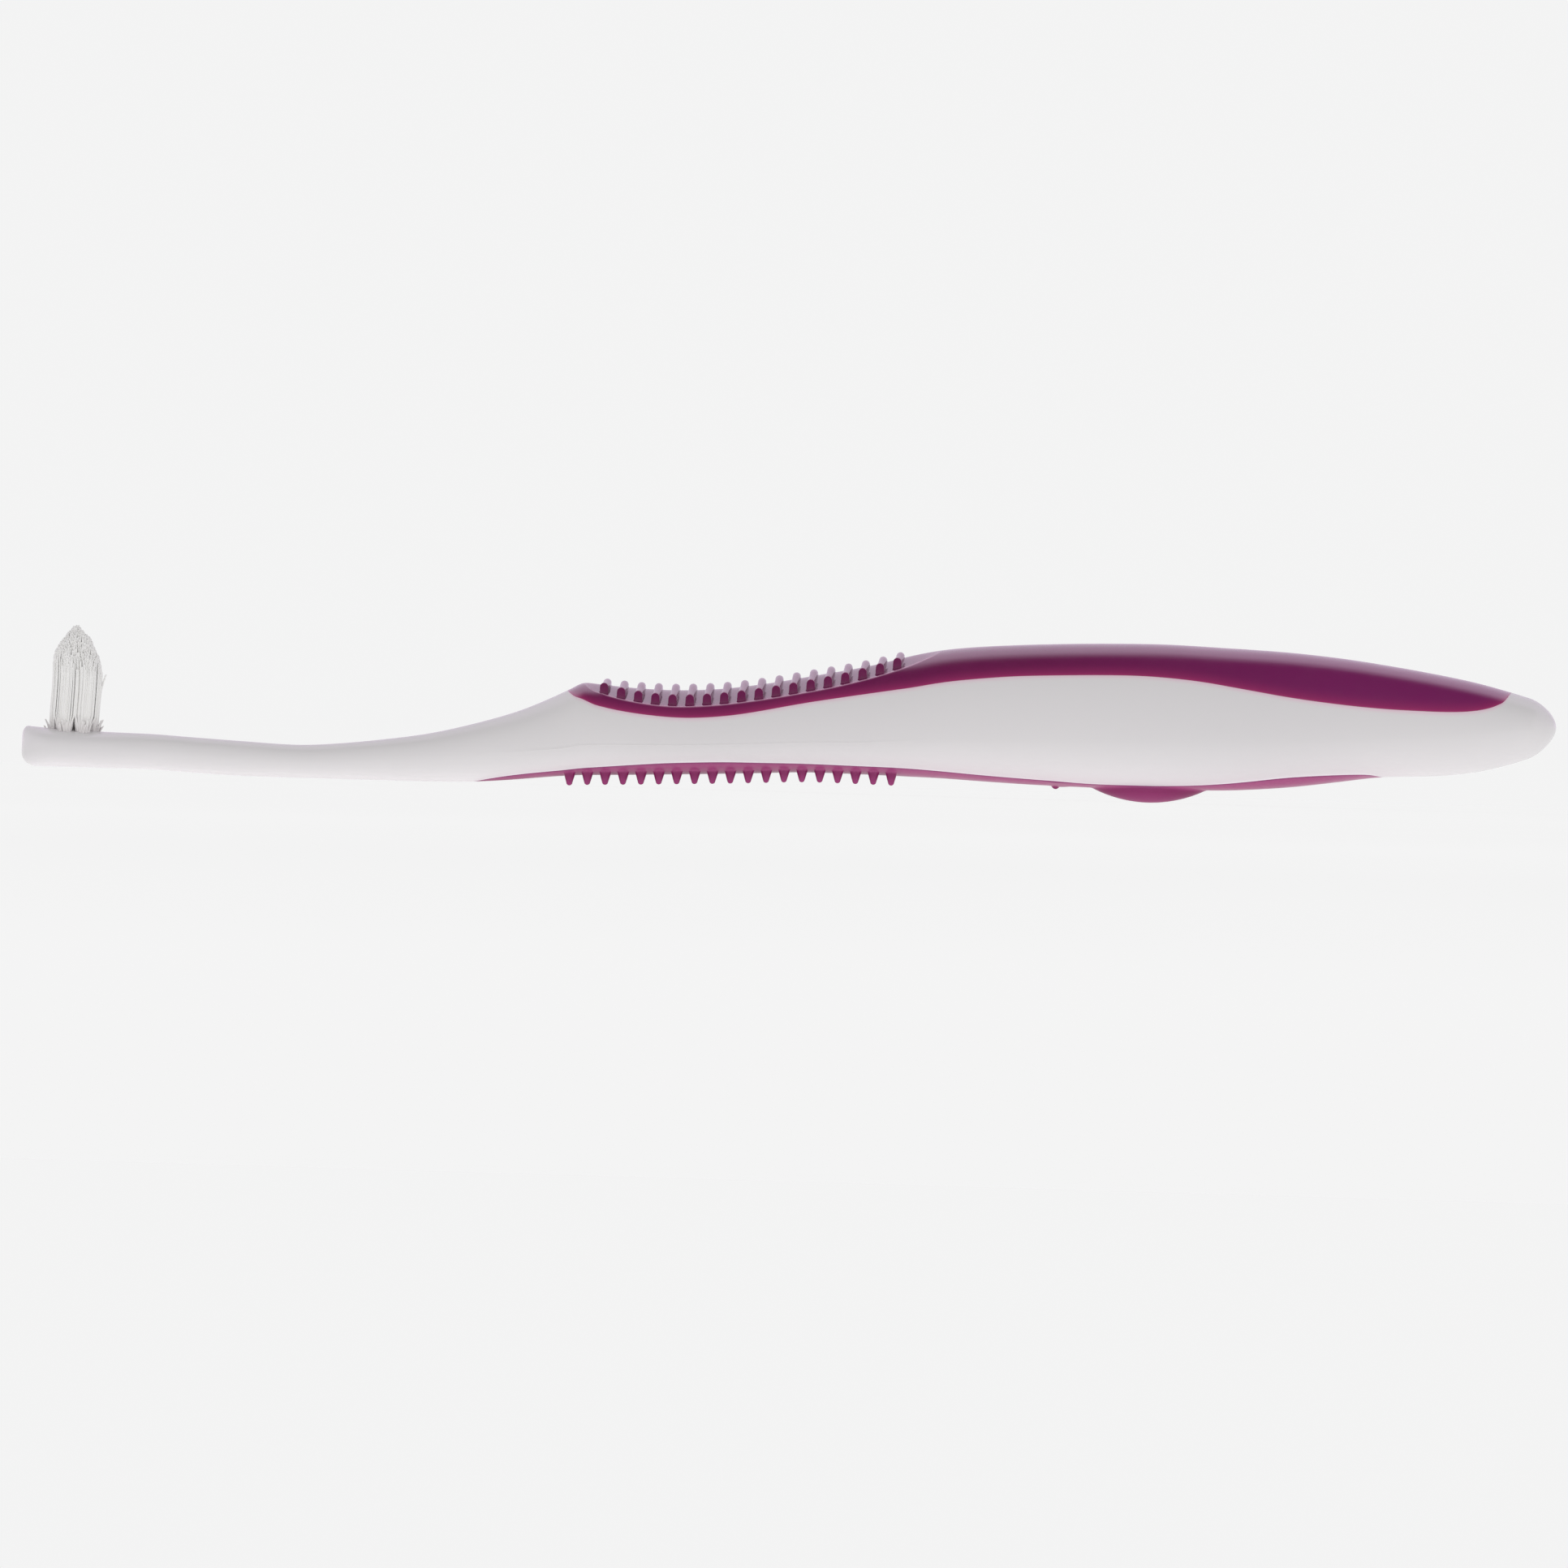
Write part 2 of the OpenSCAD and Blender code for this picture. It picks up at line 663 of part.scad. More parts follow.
// Fin across the underside, thinner towards its round tip
module under_fin(x) {
    reach = fin_reach(x);
    translate([framed(x), 0, under_z(x)])
        hull()
        for (side = [-1, 1]) {
            translate([0, side * (reach - fin_root_w / 2), 0])
                cylinder(d = fin_root_w, h = root_share * strip_t, $fn = fin_fn);
            translate([0, side * (reach - fin_root_w), fin_tip_w / 2 - fin_h])
                sphere(d = fin_tip_w, $fn = fin_fn);
        }
}

// Cap of a sphere that hangs down, its rim at the height zero and its skirt above that
module hanging_dome(d, h, skirt, fn) {
    dome_r = (d * d / 4 + h * h) / (2 * h);
    half_angle = asin(d / 2 / dome_r);
    rotate_extrude($fn = fn)
        polygon(concat(
            [[0, skirt], [d / 2, skirt]],
            [for (i = [dome_steps : -1 : 0])
                let (a = half_angle * i / dome_steps)
                [dome_r * sin(a), dome_r - h - dome_r * cos(a)]]
        ));
}

// Flat lens under the rear of the grip, longer than it is wide
module under_lens() {
    translate([framed(lens_x), 0, under_z(lens_x)])
        scale([1, lens_w / lens_l, 1])
        hanging_dome(lens_l, lens_h, root_share * strip_t, lens_fn);
}

module gate_mark() {
    translate([framed(gate_x), 0, under_z(gate_x)])
        hanging_dome(gate_d, gate_h, root_share * strip_t, gate_fn);
}

// Bristles of one tuft: places on hexagonal rings, as shares of the tuft's radius
bristle_places = concat(
    [[0, 0]],
    [for (ring = [1 : bristle_rings], side = [0 : hex_sides - 1], step = [0 : ring - 1])
        (hex_corner(side) * (ring - step) + hex_corner(side + 1) * step) / bristle_rings]
);
function hex_corner(side) = [cos(360 * side / hex_sides), sin(360 * side / hex_sides)];

module tuft(i) {
    middle = tuft_places[i];
    face = face_z(middle[0], middle[1]);
    color(bristle_colour)
    union() {
        difference() {
            translate([framed(middle[0]), middle[1], hole_floor_z])
                cylinder(r = plug_r, h = face - hole_floor_z, $fn = hole_fn);
            anchor_plate(i);
        }
        bristles(middle, face);
    }
}

// Straight bristles that spread from the middle of the cluster and end on the trim
module bristles(middle, face) {
    reach = plug_r - bristle_d / 2 - bristle_margin;
    roots = [for (p = bristle_places) middle - [tuft_x, 0] + p * reach];
    ends = [
        for (root = roots)
            let (
                h = tuft_h * smooth(trim_shares, 1, norm(root) / cluster_r),
                spread_root = root * (1 + splay_share * h / tuft_h)
            )
            [spread_root, h]
    ];
    turns = [for (k = [0 : bristle_sides - 1]) 360 * k / bristle_sides];
    points = [
        for (j = [0 : len(roots) - 1])
            each concat(
                [for (a = turns) bristle_corner(roots[j], a, face - bristle_root)],
                [for (a = turns) bristle_corner(ends[j][0], a, head_face_z + ends[j][1])]
            )
    ];
    faces = [
        for (j = [0 : len(roots) - 1])
            let (base = j * 2 * bristle_sides)
            each concat(
                [[for (k = [0 : bristle_sides - 1]) base + k]],
                [for (k = [0 : bristle_sides - 1])
                    let (next = (k + 1) % bristle_sides)
                    [base + k, base + k + bristle_sides, base + next + bristle_sides, base + next]],
                [[for (k = [bristle_sides - 1 : -1 : 0]) base + k + bristle_sides]]
            )
    ];
    polyhedron(points = points, faces = faces);
}

function bristle_corner(place, angle, z) =
    [
        framed(tuft_x) + place[0] + bristle_d / 2 * cos(angle),
        place[1] + bristle_d / 2 * sin(angle),
        z
    ];

module anchor(i) {
    color(anchor_colour) anchor_plate(i);
}

handle_core();
upper_grip();
lower_grip();
for (i = [0 : tuft_count - 1]) {
    tuft(i);
    anchor(i);
}
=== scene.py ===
"""Looks of the single-tuft toothbrush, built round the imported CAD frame."""
import math
import random

import bmesh
import bpy
import numpy as np
from mathutils import Matrix, Vector


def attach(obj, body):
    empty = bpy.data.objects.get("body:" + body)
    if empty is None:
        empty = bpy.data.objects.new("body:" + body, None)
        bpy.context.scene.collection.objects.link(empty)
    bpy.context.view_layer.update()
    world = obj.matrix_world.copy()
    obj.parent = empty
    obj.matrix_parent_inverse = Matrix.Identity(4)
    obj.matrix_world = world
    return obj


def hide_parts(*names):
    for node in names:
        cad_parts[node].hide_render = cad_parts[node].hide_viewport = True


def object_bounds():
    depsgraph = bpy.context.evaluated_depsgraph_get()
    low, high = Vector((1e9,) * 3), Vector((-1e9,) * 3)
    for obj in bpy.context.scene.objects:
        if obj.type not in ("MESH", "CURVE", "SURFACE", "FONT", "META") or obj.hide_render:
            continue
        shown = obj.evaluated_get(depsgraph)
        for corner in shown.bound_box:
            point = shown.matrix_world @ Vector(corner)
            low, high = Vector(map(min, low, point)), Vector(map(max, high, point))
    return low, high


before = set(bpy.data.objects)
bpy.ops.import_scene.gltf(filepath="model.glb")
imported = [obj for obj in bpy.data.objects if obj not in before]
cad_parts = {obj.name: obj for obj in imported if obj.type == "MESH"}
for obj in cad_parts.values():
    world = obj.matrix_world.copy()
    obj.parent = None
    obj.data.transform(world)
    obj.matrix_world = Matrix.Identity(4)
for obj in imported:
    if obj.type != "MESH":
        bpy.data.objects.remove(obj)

cad_box = [list(corner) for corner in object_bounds()]
MM = 0.001

# Sizes in millimetres, the same as the CAD model's
overall_l = (cad_box[1][0] - cad_box[0][0]) / MM
handle_h = 17.6
handle_w = 13
tail_r = 3
head_l = 10.6
head_w = 8.1
head_t = 4.4
head_lift = 0.45
nose_top_l = 0.7
nose_top_h = 1.3
nose_under_l = 1.6
nose_under_h = 1.5
neck_l = 41.5
neck_w = 4.4
neck_t = 3.62
grip_lead = 8.2
grip_tail = 5.1
grip_t = 1
tip_l = 2.4
pad_lead = 1.6
pad_l = 40.2
pad_w = 10.2
pad_crown = 1.85
rib_count = 18
rib_pitch = 1.906
rib_lead = 2.8
rib_w = 0.92
rib_h = 0.72
rib_end_h = 1.2
rib_margin = 0.35
rib_bow = 0.35
strip_lead = 1.8
strip_tail = 19.1
strip_t = 0.9
fin_count = 19
fin_pitch = 1.981
fin_lead = 10.5
fin_span = 6.8
fin_root_w = 1.12
fin_tip_w = 0.66
fin_h = 1.1
fin_rise_share = 0.5
lens_l = 12.6
lens_w = 5
lens_h = 1.48
lens_tail = 45
gate_tail = 55.3
gate_d = 0.9
gate_h = 0.35
ring_tufts = 6
tuft_pitch = 1.93
tuft_x = 5.7
hole_d = 1.7
hole_depth = 3
tuft_h = 11.7
anchor_h = 1.35

# Finer sizes that only the looks need: rounding of the seams and of the pad's crisp edge, and a low
# guess of the length of a quarter section, into which that rounding has to fit off the pad
seam_r = 0.08
core_seam_r = 0.7 * seam_r
crisp_r = 0.08
quarter_l = 2
# Thumb pad: how round its crown is in the middle, and how its scoop and its bow fade out at the ends
crown_round_share = 0.3
scoop_spread = 0.8
scoop_fade_l = 2.5
pad_fade_l = 2
# Ribs: rounding of their ends, which is measured on half the length of a middle rib, and of their feet,
# with the point of the foot at shares of its radius and of the rib's height
rib_edge_r = 0.12
rib_half_l = 4.5
rib_foot_r = 0.08
rib_foot_point = (0.2, 0.15)
# Fins, lens and gate mark: fillets, the share of a fin's tip that is round, and the low pad of the gate
fin_fillet = 0.12
fin_round_share = 0.92
lens_fillet = 0.1
gate_fillet = 0.06
gate_pad_d = 2.2
gate_pad_h = 0.1
gate_pad_shift = 0.55
# Parting line of the mould, with the lengths over which it comes up and fades
parting_h = 0.02
parting_w = 0.05
parting_rise_l = 10
parting_fall_l = 12
# How far the marks for the materials reach from an edge, painted shade and painted highlights among them,
# and how strong the ribs' own painted highlight is
upper_seam_shade_w = 0.35
lower_seam_highlight_w = 0.3
thin_w = 0.9
rim_w = 0.22
edge_highlight_w = 0.1
rib_end_highlight_share = 0.6
# Filaments: their rounded tip as distances from its end and radii, both as shares of their radius,
# their unevenness, the radius of the whole cluster at its top, and how it leans towards the neck
filament_d = 0.19
filament_tip = ((0.9, 1.0), (0.35, 0.8), (0.0, 0.35))
filament_count = 120
filament_wander = 0.07
filament_uneven = 0.05
cluster_top_r = 2.74
cell_gap = filament_d / 6
hole_play = 0.04
tuft_mix_h = 1.3
tuft_lean = 0.24
tuft_lean_h = 6.2
lean_back_share = 0.5
# Short filaments round the outer tufts, within an angle to each side, and one long stray one
short_count = 12
short_fan = 75
short_h = 1.2
short_least = 0.3
short_lean = 0.7
short_lean_least = 0.15
short_lean_power = 1.5
short_bend_from = 0.4
short_bend_power = 1.4
stray_tuft = 1
stray_h = 6.2
stray_lean = 0.75
stray_bend_power = 3
# Places of changes of colour: along the purple grip; by how far the pink grip stands down, for painted shade
# on the flanks and painted floor light on the crests; and over the bristles' feet, for painted shade
tail_tint_from = 25
tail_tint_to = 60
painted_shade_depths = (0.03, 0.25)
painted_light_depths = (0.5, 1.5)
foot_shade_h = 1.6
foot_shade = 0.6

# How finely the meshes are divided: lengths with finer steps, the steps, and the least ones
nose_fine_l = 1.2
head_fine_l = 12
lens_margin = 0.5
gate_fine_l = 1.6
head_step = 0.25
plain_step = 0.5
pad_step = 0.3
lens_step = 0.12
gate_step = 0.07
core_least = 0.004
grip_least = 0.01
strip_least = 0.02
# Numbers of steps at the ends, and of points over a rounded corner and over a rib
nose_steps = 12
tail_steps = 20
tip_steps = 14
pad_start_steps = 14
pad_end_steps = 16
corner_steps = 4
rib_points = 13
# Numbers of columns in half a section, and the places of those between a rib's end and the pad's edge
grip_seat_columns = 11
strip_seat_columns = 9
core_side_columns = 41
rib_columns = 15
rib_end_columns = 4
margin_shares = (0.03, 0.35, 0.7)
grip_side_columns = 23
grip_floor_columns = 13
strip_columns = 48
# Sides of round things, and points along the filaments
hole_sides = 40
cutter_overrun = 1.0
filament_sides = 8
filament_points = 9
short_points = 6
stray_points = 12
# Points nearer than the first are merged, edges shorter than the second are dissolved, and edges
# that turn by more degrees than the others are sharp
doubled_gap = 0.0015
least_edge = 0.0002
plain_sharp = 50
grip_sharp = 42
strip_sharp = 60

# Places along the brush, as distances from the nose, and radii that follow from the sizes
handle_x = head_l + neck_l
grip_from = handle_x + grip_lead
grip_to = overall_l - grip_tail
pad_from = grip_from + pad_lead
pad_to = pad_from + pad_l
strip_from = handle_x - strip_lead
strip_to = overall_l - strip_tail
lens_x = overall_l - lens_tail
gate_x = overall_l - gate_tail
zone_ends = [0, head_l, handle_x, pad_from, pad_to, overall_l]
plug_r = hole_d / 2
cluster_r = tuft_pitch + plug_r
filament_r = filament_d / 2
root_reach = plug_r - filament_r - hole_play

# Rows of place, top, underside, half width, widest height and squareness, as in the CAD model
head_shares = [
    [0.00, 1.020, 0, 1.00, 0.50, 2.6],
    [0.27, 0.962, 0, 1.00, 0.50, 2.6],
    [0.55, 0.941, 0, 0.99, 0.50, 2.6],
    [0.74, 0.918, 0, 0.88, 0.50, 2.5],
    [0.90, 0.902, 0, 0.71, 0.50, 2.4],
]
neck_shares = [
    [1.00, 1.215, 0.126, 1.17, 0.50, 2.3],
    [1.06, 1.212, 0.133, 1.03, 0.50, 2.2],
    [1.20, 1.138, 0.061, 1.00, 0.50, 2.2],
    [1.35, 1.058, 0.003, 1.00, 0.50, 2.2],
    [1.48, 0.998, 0.000, 1.02, 0.50, 2.2],
    [1.60, 1.094, 0.000, 1.06, 0.50, 2.2],
    [1.72, 1.265, 0.000, 1.14, 0.50, 2.2],
    [1.82, 1.442, 0.002, 1.25, 0.50, 2.2],
    [1.92, 1.713, 0.018, 1.42, 0.49, 2.2],
]
handle_shares = [
    [2.00, 0.406, 0.015, 0.530, 0.455, 2.2],
    [2.30, 0.461, 0.030, 0.608, 0.405, 2.2],
    [2.60, 0.534, 0.049, 0.690, 0.350, 2.2],
    [2.85, 0.603, 0.062, 0.755, 0.325, 2.2],
    [3.01, 0.652, 0.069, 0.805, 0.325, 2.2],
    [3.05, 0.645, 0.072, 0.838, 0.332, 2.2],
    [3.14, 0.627, 0.079, 0.892, 0.344, 2.2],
    [3.25, 0.620, 0.089, 0.938, 0.347, 2.2],
    [3.36, 0.632, 0.099, 0.962, 0.345, 2.2],
    [3.50, 0.675, 0.114, 0.977, 0.330, 2.2],
    [3.64, 0.738, 0.128, 0.985, 0.310, 2.2],
    [3.80, 0.813, 0.124, 0.992, 0.295, 2.2],
    [3.92, 0.889, 0.119, 0.996, 0.295, 2.2],
    [4.00, 0.926, 0.115, 1.000, 0.300, 2.2],
    [4.06, 0.952, 0.104, 1.000, 0.308, 2.2],
    [4.16, 0.978, 0.090, 1.000, 0.325, 2.2],
    [4.27, 0.995, 0.084, 1.000, 0.338, 2.2],
    [4.35, 1.000, 0.084, 0.995, 0.344, 2.2],
    [4.45, 0.989, 0.089, 0.975, 0.352, 2.2],
    [4.55, 0.974, 0.115, 0.940, 0.353, 2.2],
    [4.65, 0.943, 0.166, 0.890, 0.353, 2.2],
    [4.72, 0.909, 0.205, 0.850, 0.365, 2.2],
    [4.80, 0.863, 0.218, 0.800, 0.410, 2.2],
    [4.87, 0.814, 0.250, 0.745, 0.445, 2.1],
    [4.93, 0.756, 0.311, 0.680, 0.480, 2.1],
    [4.97, 0.712, 0.366, 0.620, 0.500, 2.1],
    [5.00, 0.676, 0.415, 0.560, 0.500, 2.1],
]
grip_edge_shares = [
    [0.000, 1.00], [0.009, 0.82], [0.018, 0.72], [0.035, 0.61], [0.055, 0.52], [0.088, 0.45],
    [0.120, 0.435], [0.173, 0.455], [0.225, 0.510], [0.276, 0.560], [0.330, 0.605], [0.380, 0.632],
    [0.430, 0.655], [0.482, 0.672], [0.585, 0.670], [0.662, 0.632], [0.714, 0.565], [0.766, 0.485],
    [0.818, 0.425], [0.870, 0.382], [0.922, 0.376], [0.950, 0.400], [0.973, 0.476], [0.990, 0.665],
    [1.000, 1.00],
]
strip_edge_shares = [
    [0.000, 1.00], [0.022, 0.90], [0.050, 0.83], [0.100, 0.80], [0.140, 0.735], [0.175, 0.673],
    [0.215, 0.615], [0.263, 0.603], [0.317, 0.660], [0.370, 0.725], [0.460, 0.765], [0.530, 0.840],
    [0.630, 0.895], [0.690, 0.934], [0.740, 0.934], [0.790, 0.912], [0.845, 0.850], [0.900, 0.795],
    [0.950, 0.840], [0.980, 0.900], [1.000, 1.00],
]
pad_shares = [
    [0.000, 0.00, 0.00], [0.016, 0.31, 0.45], [0.050, 0.54, 0.68], [0.100, 0.72, 0.84],
    [0.180, 0.90, 0.96], [0.260, 1.00, 1.00], [0.400, 0.95, 1.00], [0.550, 0.92, 0.99],
    [0.660, 0.92, 0.96], [0.770, 0.78, 0.88], [0.860, 0.66, 0.76], [0.925, 0.54, 0.61],
    [0.970, 0.31, 0.44], [1.000, 0.00, 0.00],
]
# Trim of the bristles on the nose's and on the neck's side of the cluster: share of
# the cluster's radius, and share of tuft_h
trim_nose_shares = [[0, 1], [0.12, 0.985], [0.365, 0.922], [0.73, 0.81], [0.92, 0.71], [1, 0.55]]
trim_neck_shares = [[0, 1], [0.12, 0.965], [0.28, 0.917], [0.45, 0.889], [0.6, 0.82], [0.735, 0.74],
                    [0.88, 0.66], [1, 0.5]]

# Step of the fine grid on which curves are kept
FINE = 0.02
# How far kinks are softened in general, at the outline's sharp place, and at the ends of grips and pad,
# and how far such a place reaches
SOFT = 1.2
TIGHT = 0.3
TIGHTEST = 0.1
SHARP_REACH = 3.0
# Turn in degrees that tells how long a section's arc is, and what keeps a division clear of zero
TRIAL_TURN = 0.5
TINY = 1e-6


def ease(u):
    """Smooth step from 0 to 1."""
    u = np.clip(u, 0, 1)
    return u * u * (3 - 2 * u)


def swell(u):
    """Quarter circle that rounds an end off, from 0 at the end to 1."""
    return np.sqrt(1 - (1 - np.clip(u, 0, 1)) ** 2)


def along(place):
    """Distance from the nose of a place, which is a zone's number plus the share of that zone."""
    zone = min(int(place), len(zone_ends) - 2)
    return zone_ends[zone] + (place - zone) * (zone_ends[zone + 1] - zone_ends[zone])


def placed(rows, start, length):
    """Rows whose first column is a share of a length, with it as a distance from the nose."""
    return [[start + row[0] * length, *row[1:]] for row in rows]


def hermite(rows, column, x):
    """Smooth curve through a table's rows, level at its peaks, as in the CAD model."""
    at = np.array([row[0] for row in rows], float)
    value = np.array([row[column] for row in rows], float)
    rise = np.diff(value) / np.diff(at)
    before = np.concatenate([rise[:1], rise])
    after = np.concatenate([rise, rise[-1:]])
    peak = before * after <= 0
    lean = np.where(peak, 0, 2 * before * after / np.where(peak, 1, before + after))
    i = np.clip(np.searchsorted(at, x, "right") - 1, 0, len(at) - 2)
    step = at[i + 1] - at[i]
    u = (x - at[i]) / step
    return (value[i] * (1 + 2 * u) * (1 - u) ** 2 + value[i + 1] * u * u * (3 - 2 * u)
            + step * lean[i] * u * (1 - u) ** 2 - step * lean[i + 1] * u * u * (1 - u))


def softened(values, spread):
    """Values on the fine grid, blurred along the brush, with both ends kept."""
    reach = int(4 * spread / FINE)
    kernel = np.exp(-0.5 * (np.arange(-reach, reach + 1) * FINE / spread) ** 2)
    first = 2 * values[0] - values[reach:0:-1]
    last = 2 * values[-1] - values[-2:-reach - 2:-1]
    return np.convolve(np.concatenate([first, values, last]), kernel / kernel.sum(), "valid")


def fine_grid(start, end):
    return np.linspace(start, end, int(round((end - start) / FINE)) + 1)


def fair(rows, column, sharp, tight):
    """Function of the distance from the nose through a table's rows, softened least near sharp places."""
    x = fine_grid(rows[0][0], rows[-1][0])
    plain = hermite(rows, column, x)
    near = np.max([np.exp(-((x - place) / SHARP_REACH) ** 2) for place in sharp], axis=0)
    values = near * softened(plain, tight) + (1 - near) * softened(plain, SOFT)
    return lambda at: np.interp(at, x, values)


def outline_rows(shares, lift, tall, wide):
    """Rows of an outline in millimetres from rows of shares."""
    return [[along(place), lift + top * tall, lift + under * tall, half * wide / 2, widest, power]
            for place, top, under, half, widest, power in shares]


outline = (outline_rows(head_shares, head_lift, head_t, head_w)
           + outline_rows(neck_shares, 0, neck_t, neck_w)
           + outline_rows(handle_shares, 0, handle_h, handle_w))
top_curve, under_curve, width_curve, widest_curve, square_power = [
    fair(outline, column, [pad_from], TIGHT) for column in range(1, 6)]
grip_rows = placed(grip_edge_shares, grip_from, grip_to - grip_from)
strip_rows = placed(strip_edge_shares, strip_from, strip_to - strip_from)
pad_rows = placed(pad_shares, pad_from, pad_l)
grip_edge = fair(grip_rows, 1, [grip_from, grip_to], TIGHTEST)
strip_edge = fair(strip_rows, 1, [strip_from, strip_to], TIGHTEST)
pad_drop_curve = fair(pad_rows, 1, [pad_from, pad_to], TIGHTEST)
pad_half_curve = fair(pad_rows, 2, [pad_from, pad_to], TIGHTEST)
tail_z = (top_curve(overall_l) + under_curve(overall_l)) / 2


def within(x, start, end):
    return (x > start) & (x < end)


def tail_swell(x):
    return swell((overall_l - x) / tail_r)


def top_z(x):
    z = top_curve(x) - nose_top_h * (1 - swell(x / nose_top_l))
    return tail_z + (z - tail_z) * tail_swell(x)


def under_z(x):
    z = under_curve(x) + nose_under_h * (1 - swell(x / nose_under_l))
    return tail_z + (z - tail_z) * tail_swell(x)


def half_w(x):
    return width_curve(x) * swell(2 * x / head_w) * tail_swell(x)


def wide_z(x):
    return under_z(x) + widest_curve(x) * (top_z(x) - under_z(x))


def on_pad(x):
    return within(x, pad_from, pad_to)


def pad_half(x):
    return np.where(on_pad(x), pad_w / 2 * pad_half_curve(x), 0)


def fullness(x, y):
    """Share of its full height that a section keeps at a distance from the middle."""
    n = square_power(x)
    return (1 - np.clip(y / np.maximum(half_w(x), FINE), 0, 1) ** n) ** (1 / n)


def make_scoop():
    """How far the top that the section's sides aim at lies over the pad, faded out at the pad's ends."""
    x = fine_grid(pad_from, pad_to)
    edge = top_z(x) - pad_crown * pad_drop_curve(x) - wide_z(x)
    over = wide_z(x) + edge / fullness(x, pad_half(x)) - top_z(x)
    fade = ease((x - pad_from) / scoop_fade_l) * ease((pad_to - x) / scoop_fade_l)
    values = softened(np.maximum(over, 0), scoop_spread) * fade
    return lambda at: np.interp(at, x, values, 0, 0)


scoop = make_scoop()


def full_top(x):
    """Top that the section's sides aim at. The pad is scooped out of it."""
    return top_z(x) + scoop(x)


def pad_drop(x):
    """Depth of the pad's crisp edge under its crown."""
    edge = wide_z(x) + (full_top(x) - wide_z(x)) * fullness(x, pad_half(x))
    return np.where(on_pad(x), top_z(x) - edge, 0)


def pad_z(x, y):
    """Height of the thumb pad's crown, round in the middle and nearly straight towards its edges."""
    away = np.hypot(y / np.maximum(pad_half(x), FINE), crown_round_share) - crown_round_share
    return top_z(x) - pad_drop(x) * away / (math.hypot(1, crown_round_share) - crown_round_share)


def section(x, angle, depth=None):
    """Y and Z of a section at an angle: 90 at its top, 0 at its widest, -90 underneath. With a depth, it is
    the floor of a recess under the plain section."""
    n = square_power(x)
    turn = np.radians(angle)
    inset = 0 if depth is None else depth
    top = full_top(x) if depth is None else top_z(x) - depth
    reach = np.where(turn > 0, top - wide_z(x), wide_z(x) - under_z(x) - inset)
    y = (half_w(x) - inset) * np.abs(np.cos(turn)) ** (2 / n)
    return y, wide_z(x) + np.sign(turn) * reach * np.abs(np.sin(turn)) ** (2 / n)


def angle_of(share, n):
    """Angle at which a section reaches a share of its height."""
    return np.degrees(np.arcsin(np.clip(share, 0, 1) ** (n / 2)))


def grip_angle(x):
    """Angle at which the upper grip's edge lies, or the top off the grip."""
    return np.where(within(x, grip_from, grip_to), angle_of(grip_edge(x), square_power(x)), 90)


def strip_angle(x):
    """Angle at which the lower grip's edge lies, or the underside off the grip."""
    return np.where(within(x, strip_from, strip_to), -angle_of(strip_edge(x), square_power(x)), -90)


def grip_depth(x):
    return grip_t * swell((x - grip_from) / tip_l) * swell((grip_to - x) / tip_l)


def strip_depth(x):
    return strip_t * swell((x - strip_from) / tip_l) * swell((strip_to - x) / tip_l)


def crease_angle(x):
    """Angle of the pad's crisp edge, or of a plain point of the section off the pad."""
    n = square_power(x)
    tall = np.maximum(full_top(x) - wide_z(x), FINE)
    crease = angle_of((top_z(x) - pad_drop(x) - wide_z(x)) / tall, n)
    off = np.where(x <= pad_from, (pad_from - x) / pad_lead, (x - pad_to) / (pad_l / 2))
    plain = 90 - (90 - grip_angle(x)) / 2 * np.clip(off, 0, 1)
    return np.where(on_pad(x), crease, plain)


def spread(start, end, step):
    """Even places from start to end, at most a step apart."""
    return np.linspace(start, end, max(int(math.ceil(abs(end - start) / step)), 1) + 1)


def rounded(start, end, steps):
    """Places from start to end that crowd towards the start."""
    return start + (end - start) * (1 - np.cos(np.linspace(0, math.pi / 2, steps + 1)))


def tips(start, end):
    """Places over both thinned tips of a grip, crowded towards its ends."""
    return np.concatenate([rounded(start, start + tip_l, tip_steps), rounded(end, end - tip_l, tip_steps)])


def merged(*lists, least):
    """All places in order, with those left out that all but coincide with the one before."""
    places = np.sort(np.concatenate(lists))
    return places[np.concatenate([[True], np.diff(places) > least])]


def length_between(a, b):
    return np.hypot(b[0] - a[0], b[1] - a[1])


def toward(start, end, distance):
    """Point at a distance from start on the way to end."""
    gap = np.maximum(length_between(start, end), TINY)
    return [start[k] + (end[k] - start[k]) * distance / gap for k in (0, 1)]


def angle_step(x, angle, distance, sign):
    """Turn that moves a section's point by a distance."""
    moved = length_between(section(x, angle), section(x, angle + sign * TRIAL_TURN))
    return sign * TRIAL_TURN * distance / np.maximum(moved, TINY)


def seam_corner(x, angle, depth, radius, sign):
    """Rounding of a seam's edge: its end on the wall, the edge, and the angle of its end on the face."""
    edge = section(x, angle)
    foot = section(x, angle, depth)
    r = np.minimum(radius, length_between(foot, edge) / 3)
    return toward(edge, foot, r), edge, angle + angle_step(x, angle, r, sign)


def both_sides(values):
    """Values of a half's columns, carried over to its mirrored half."""
    return np.concatenate([values, values[:, -2:0:-1]], axis=1)


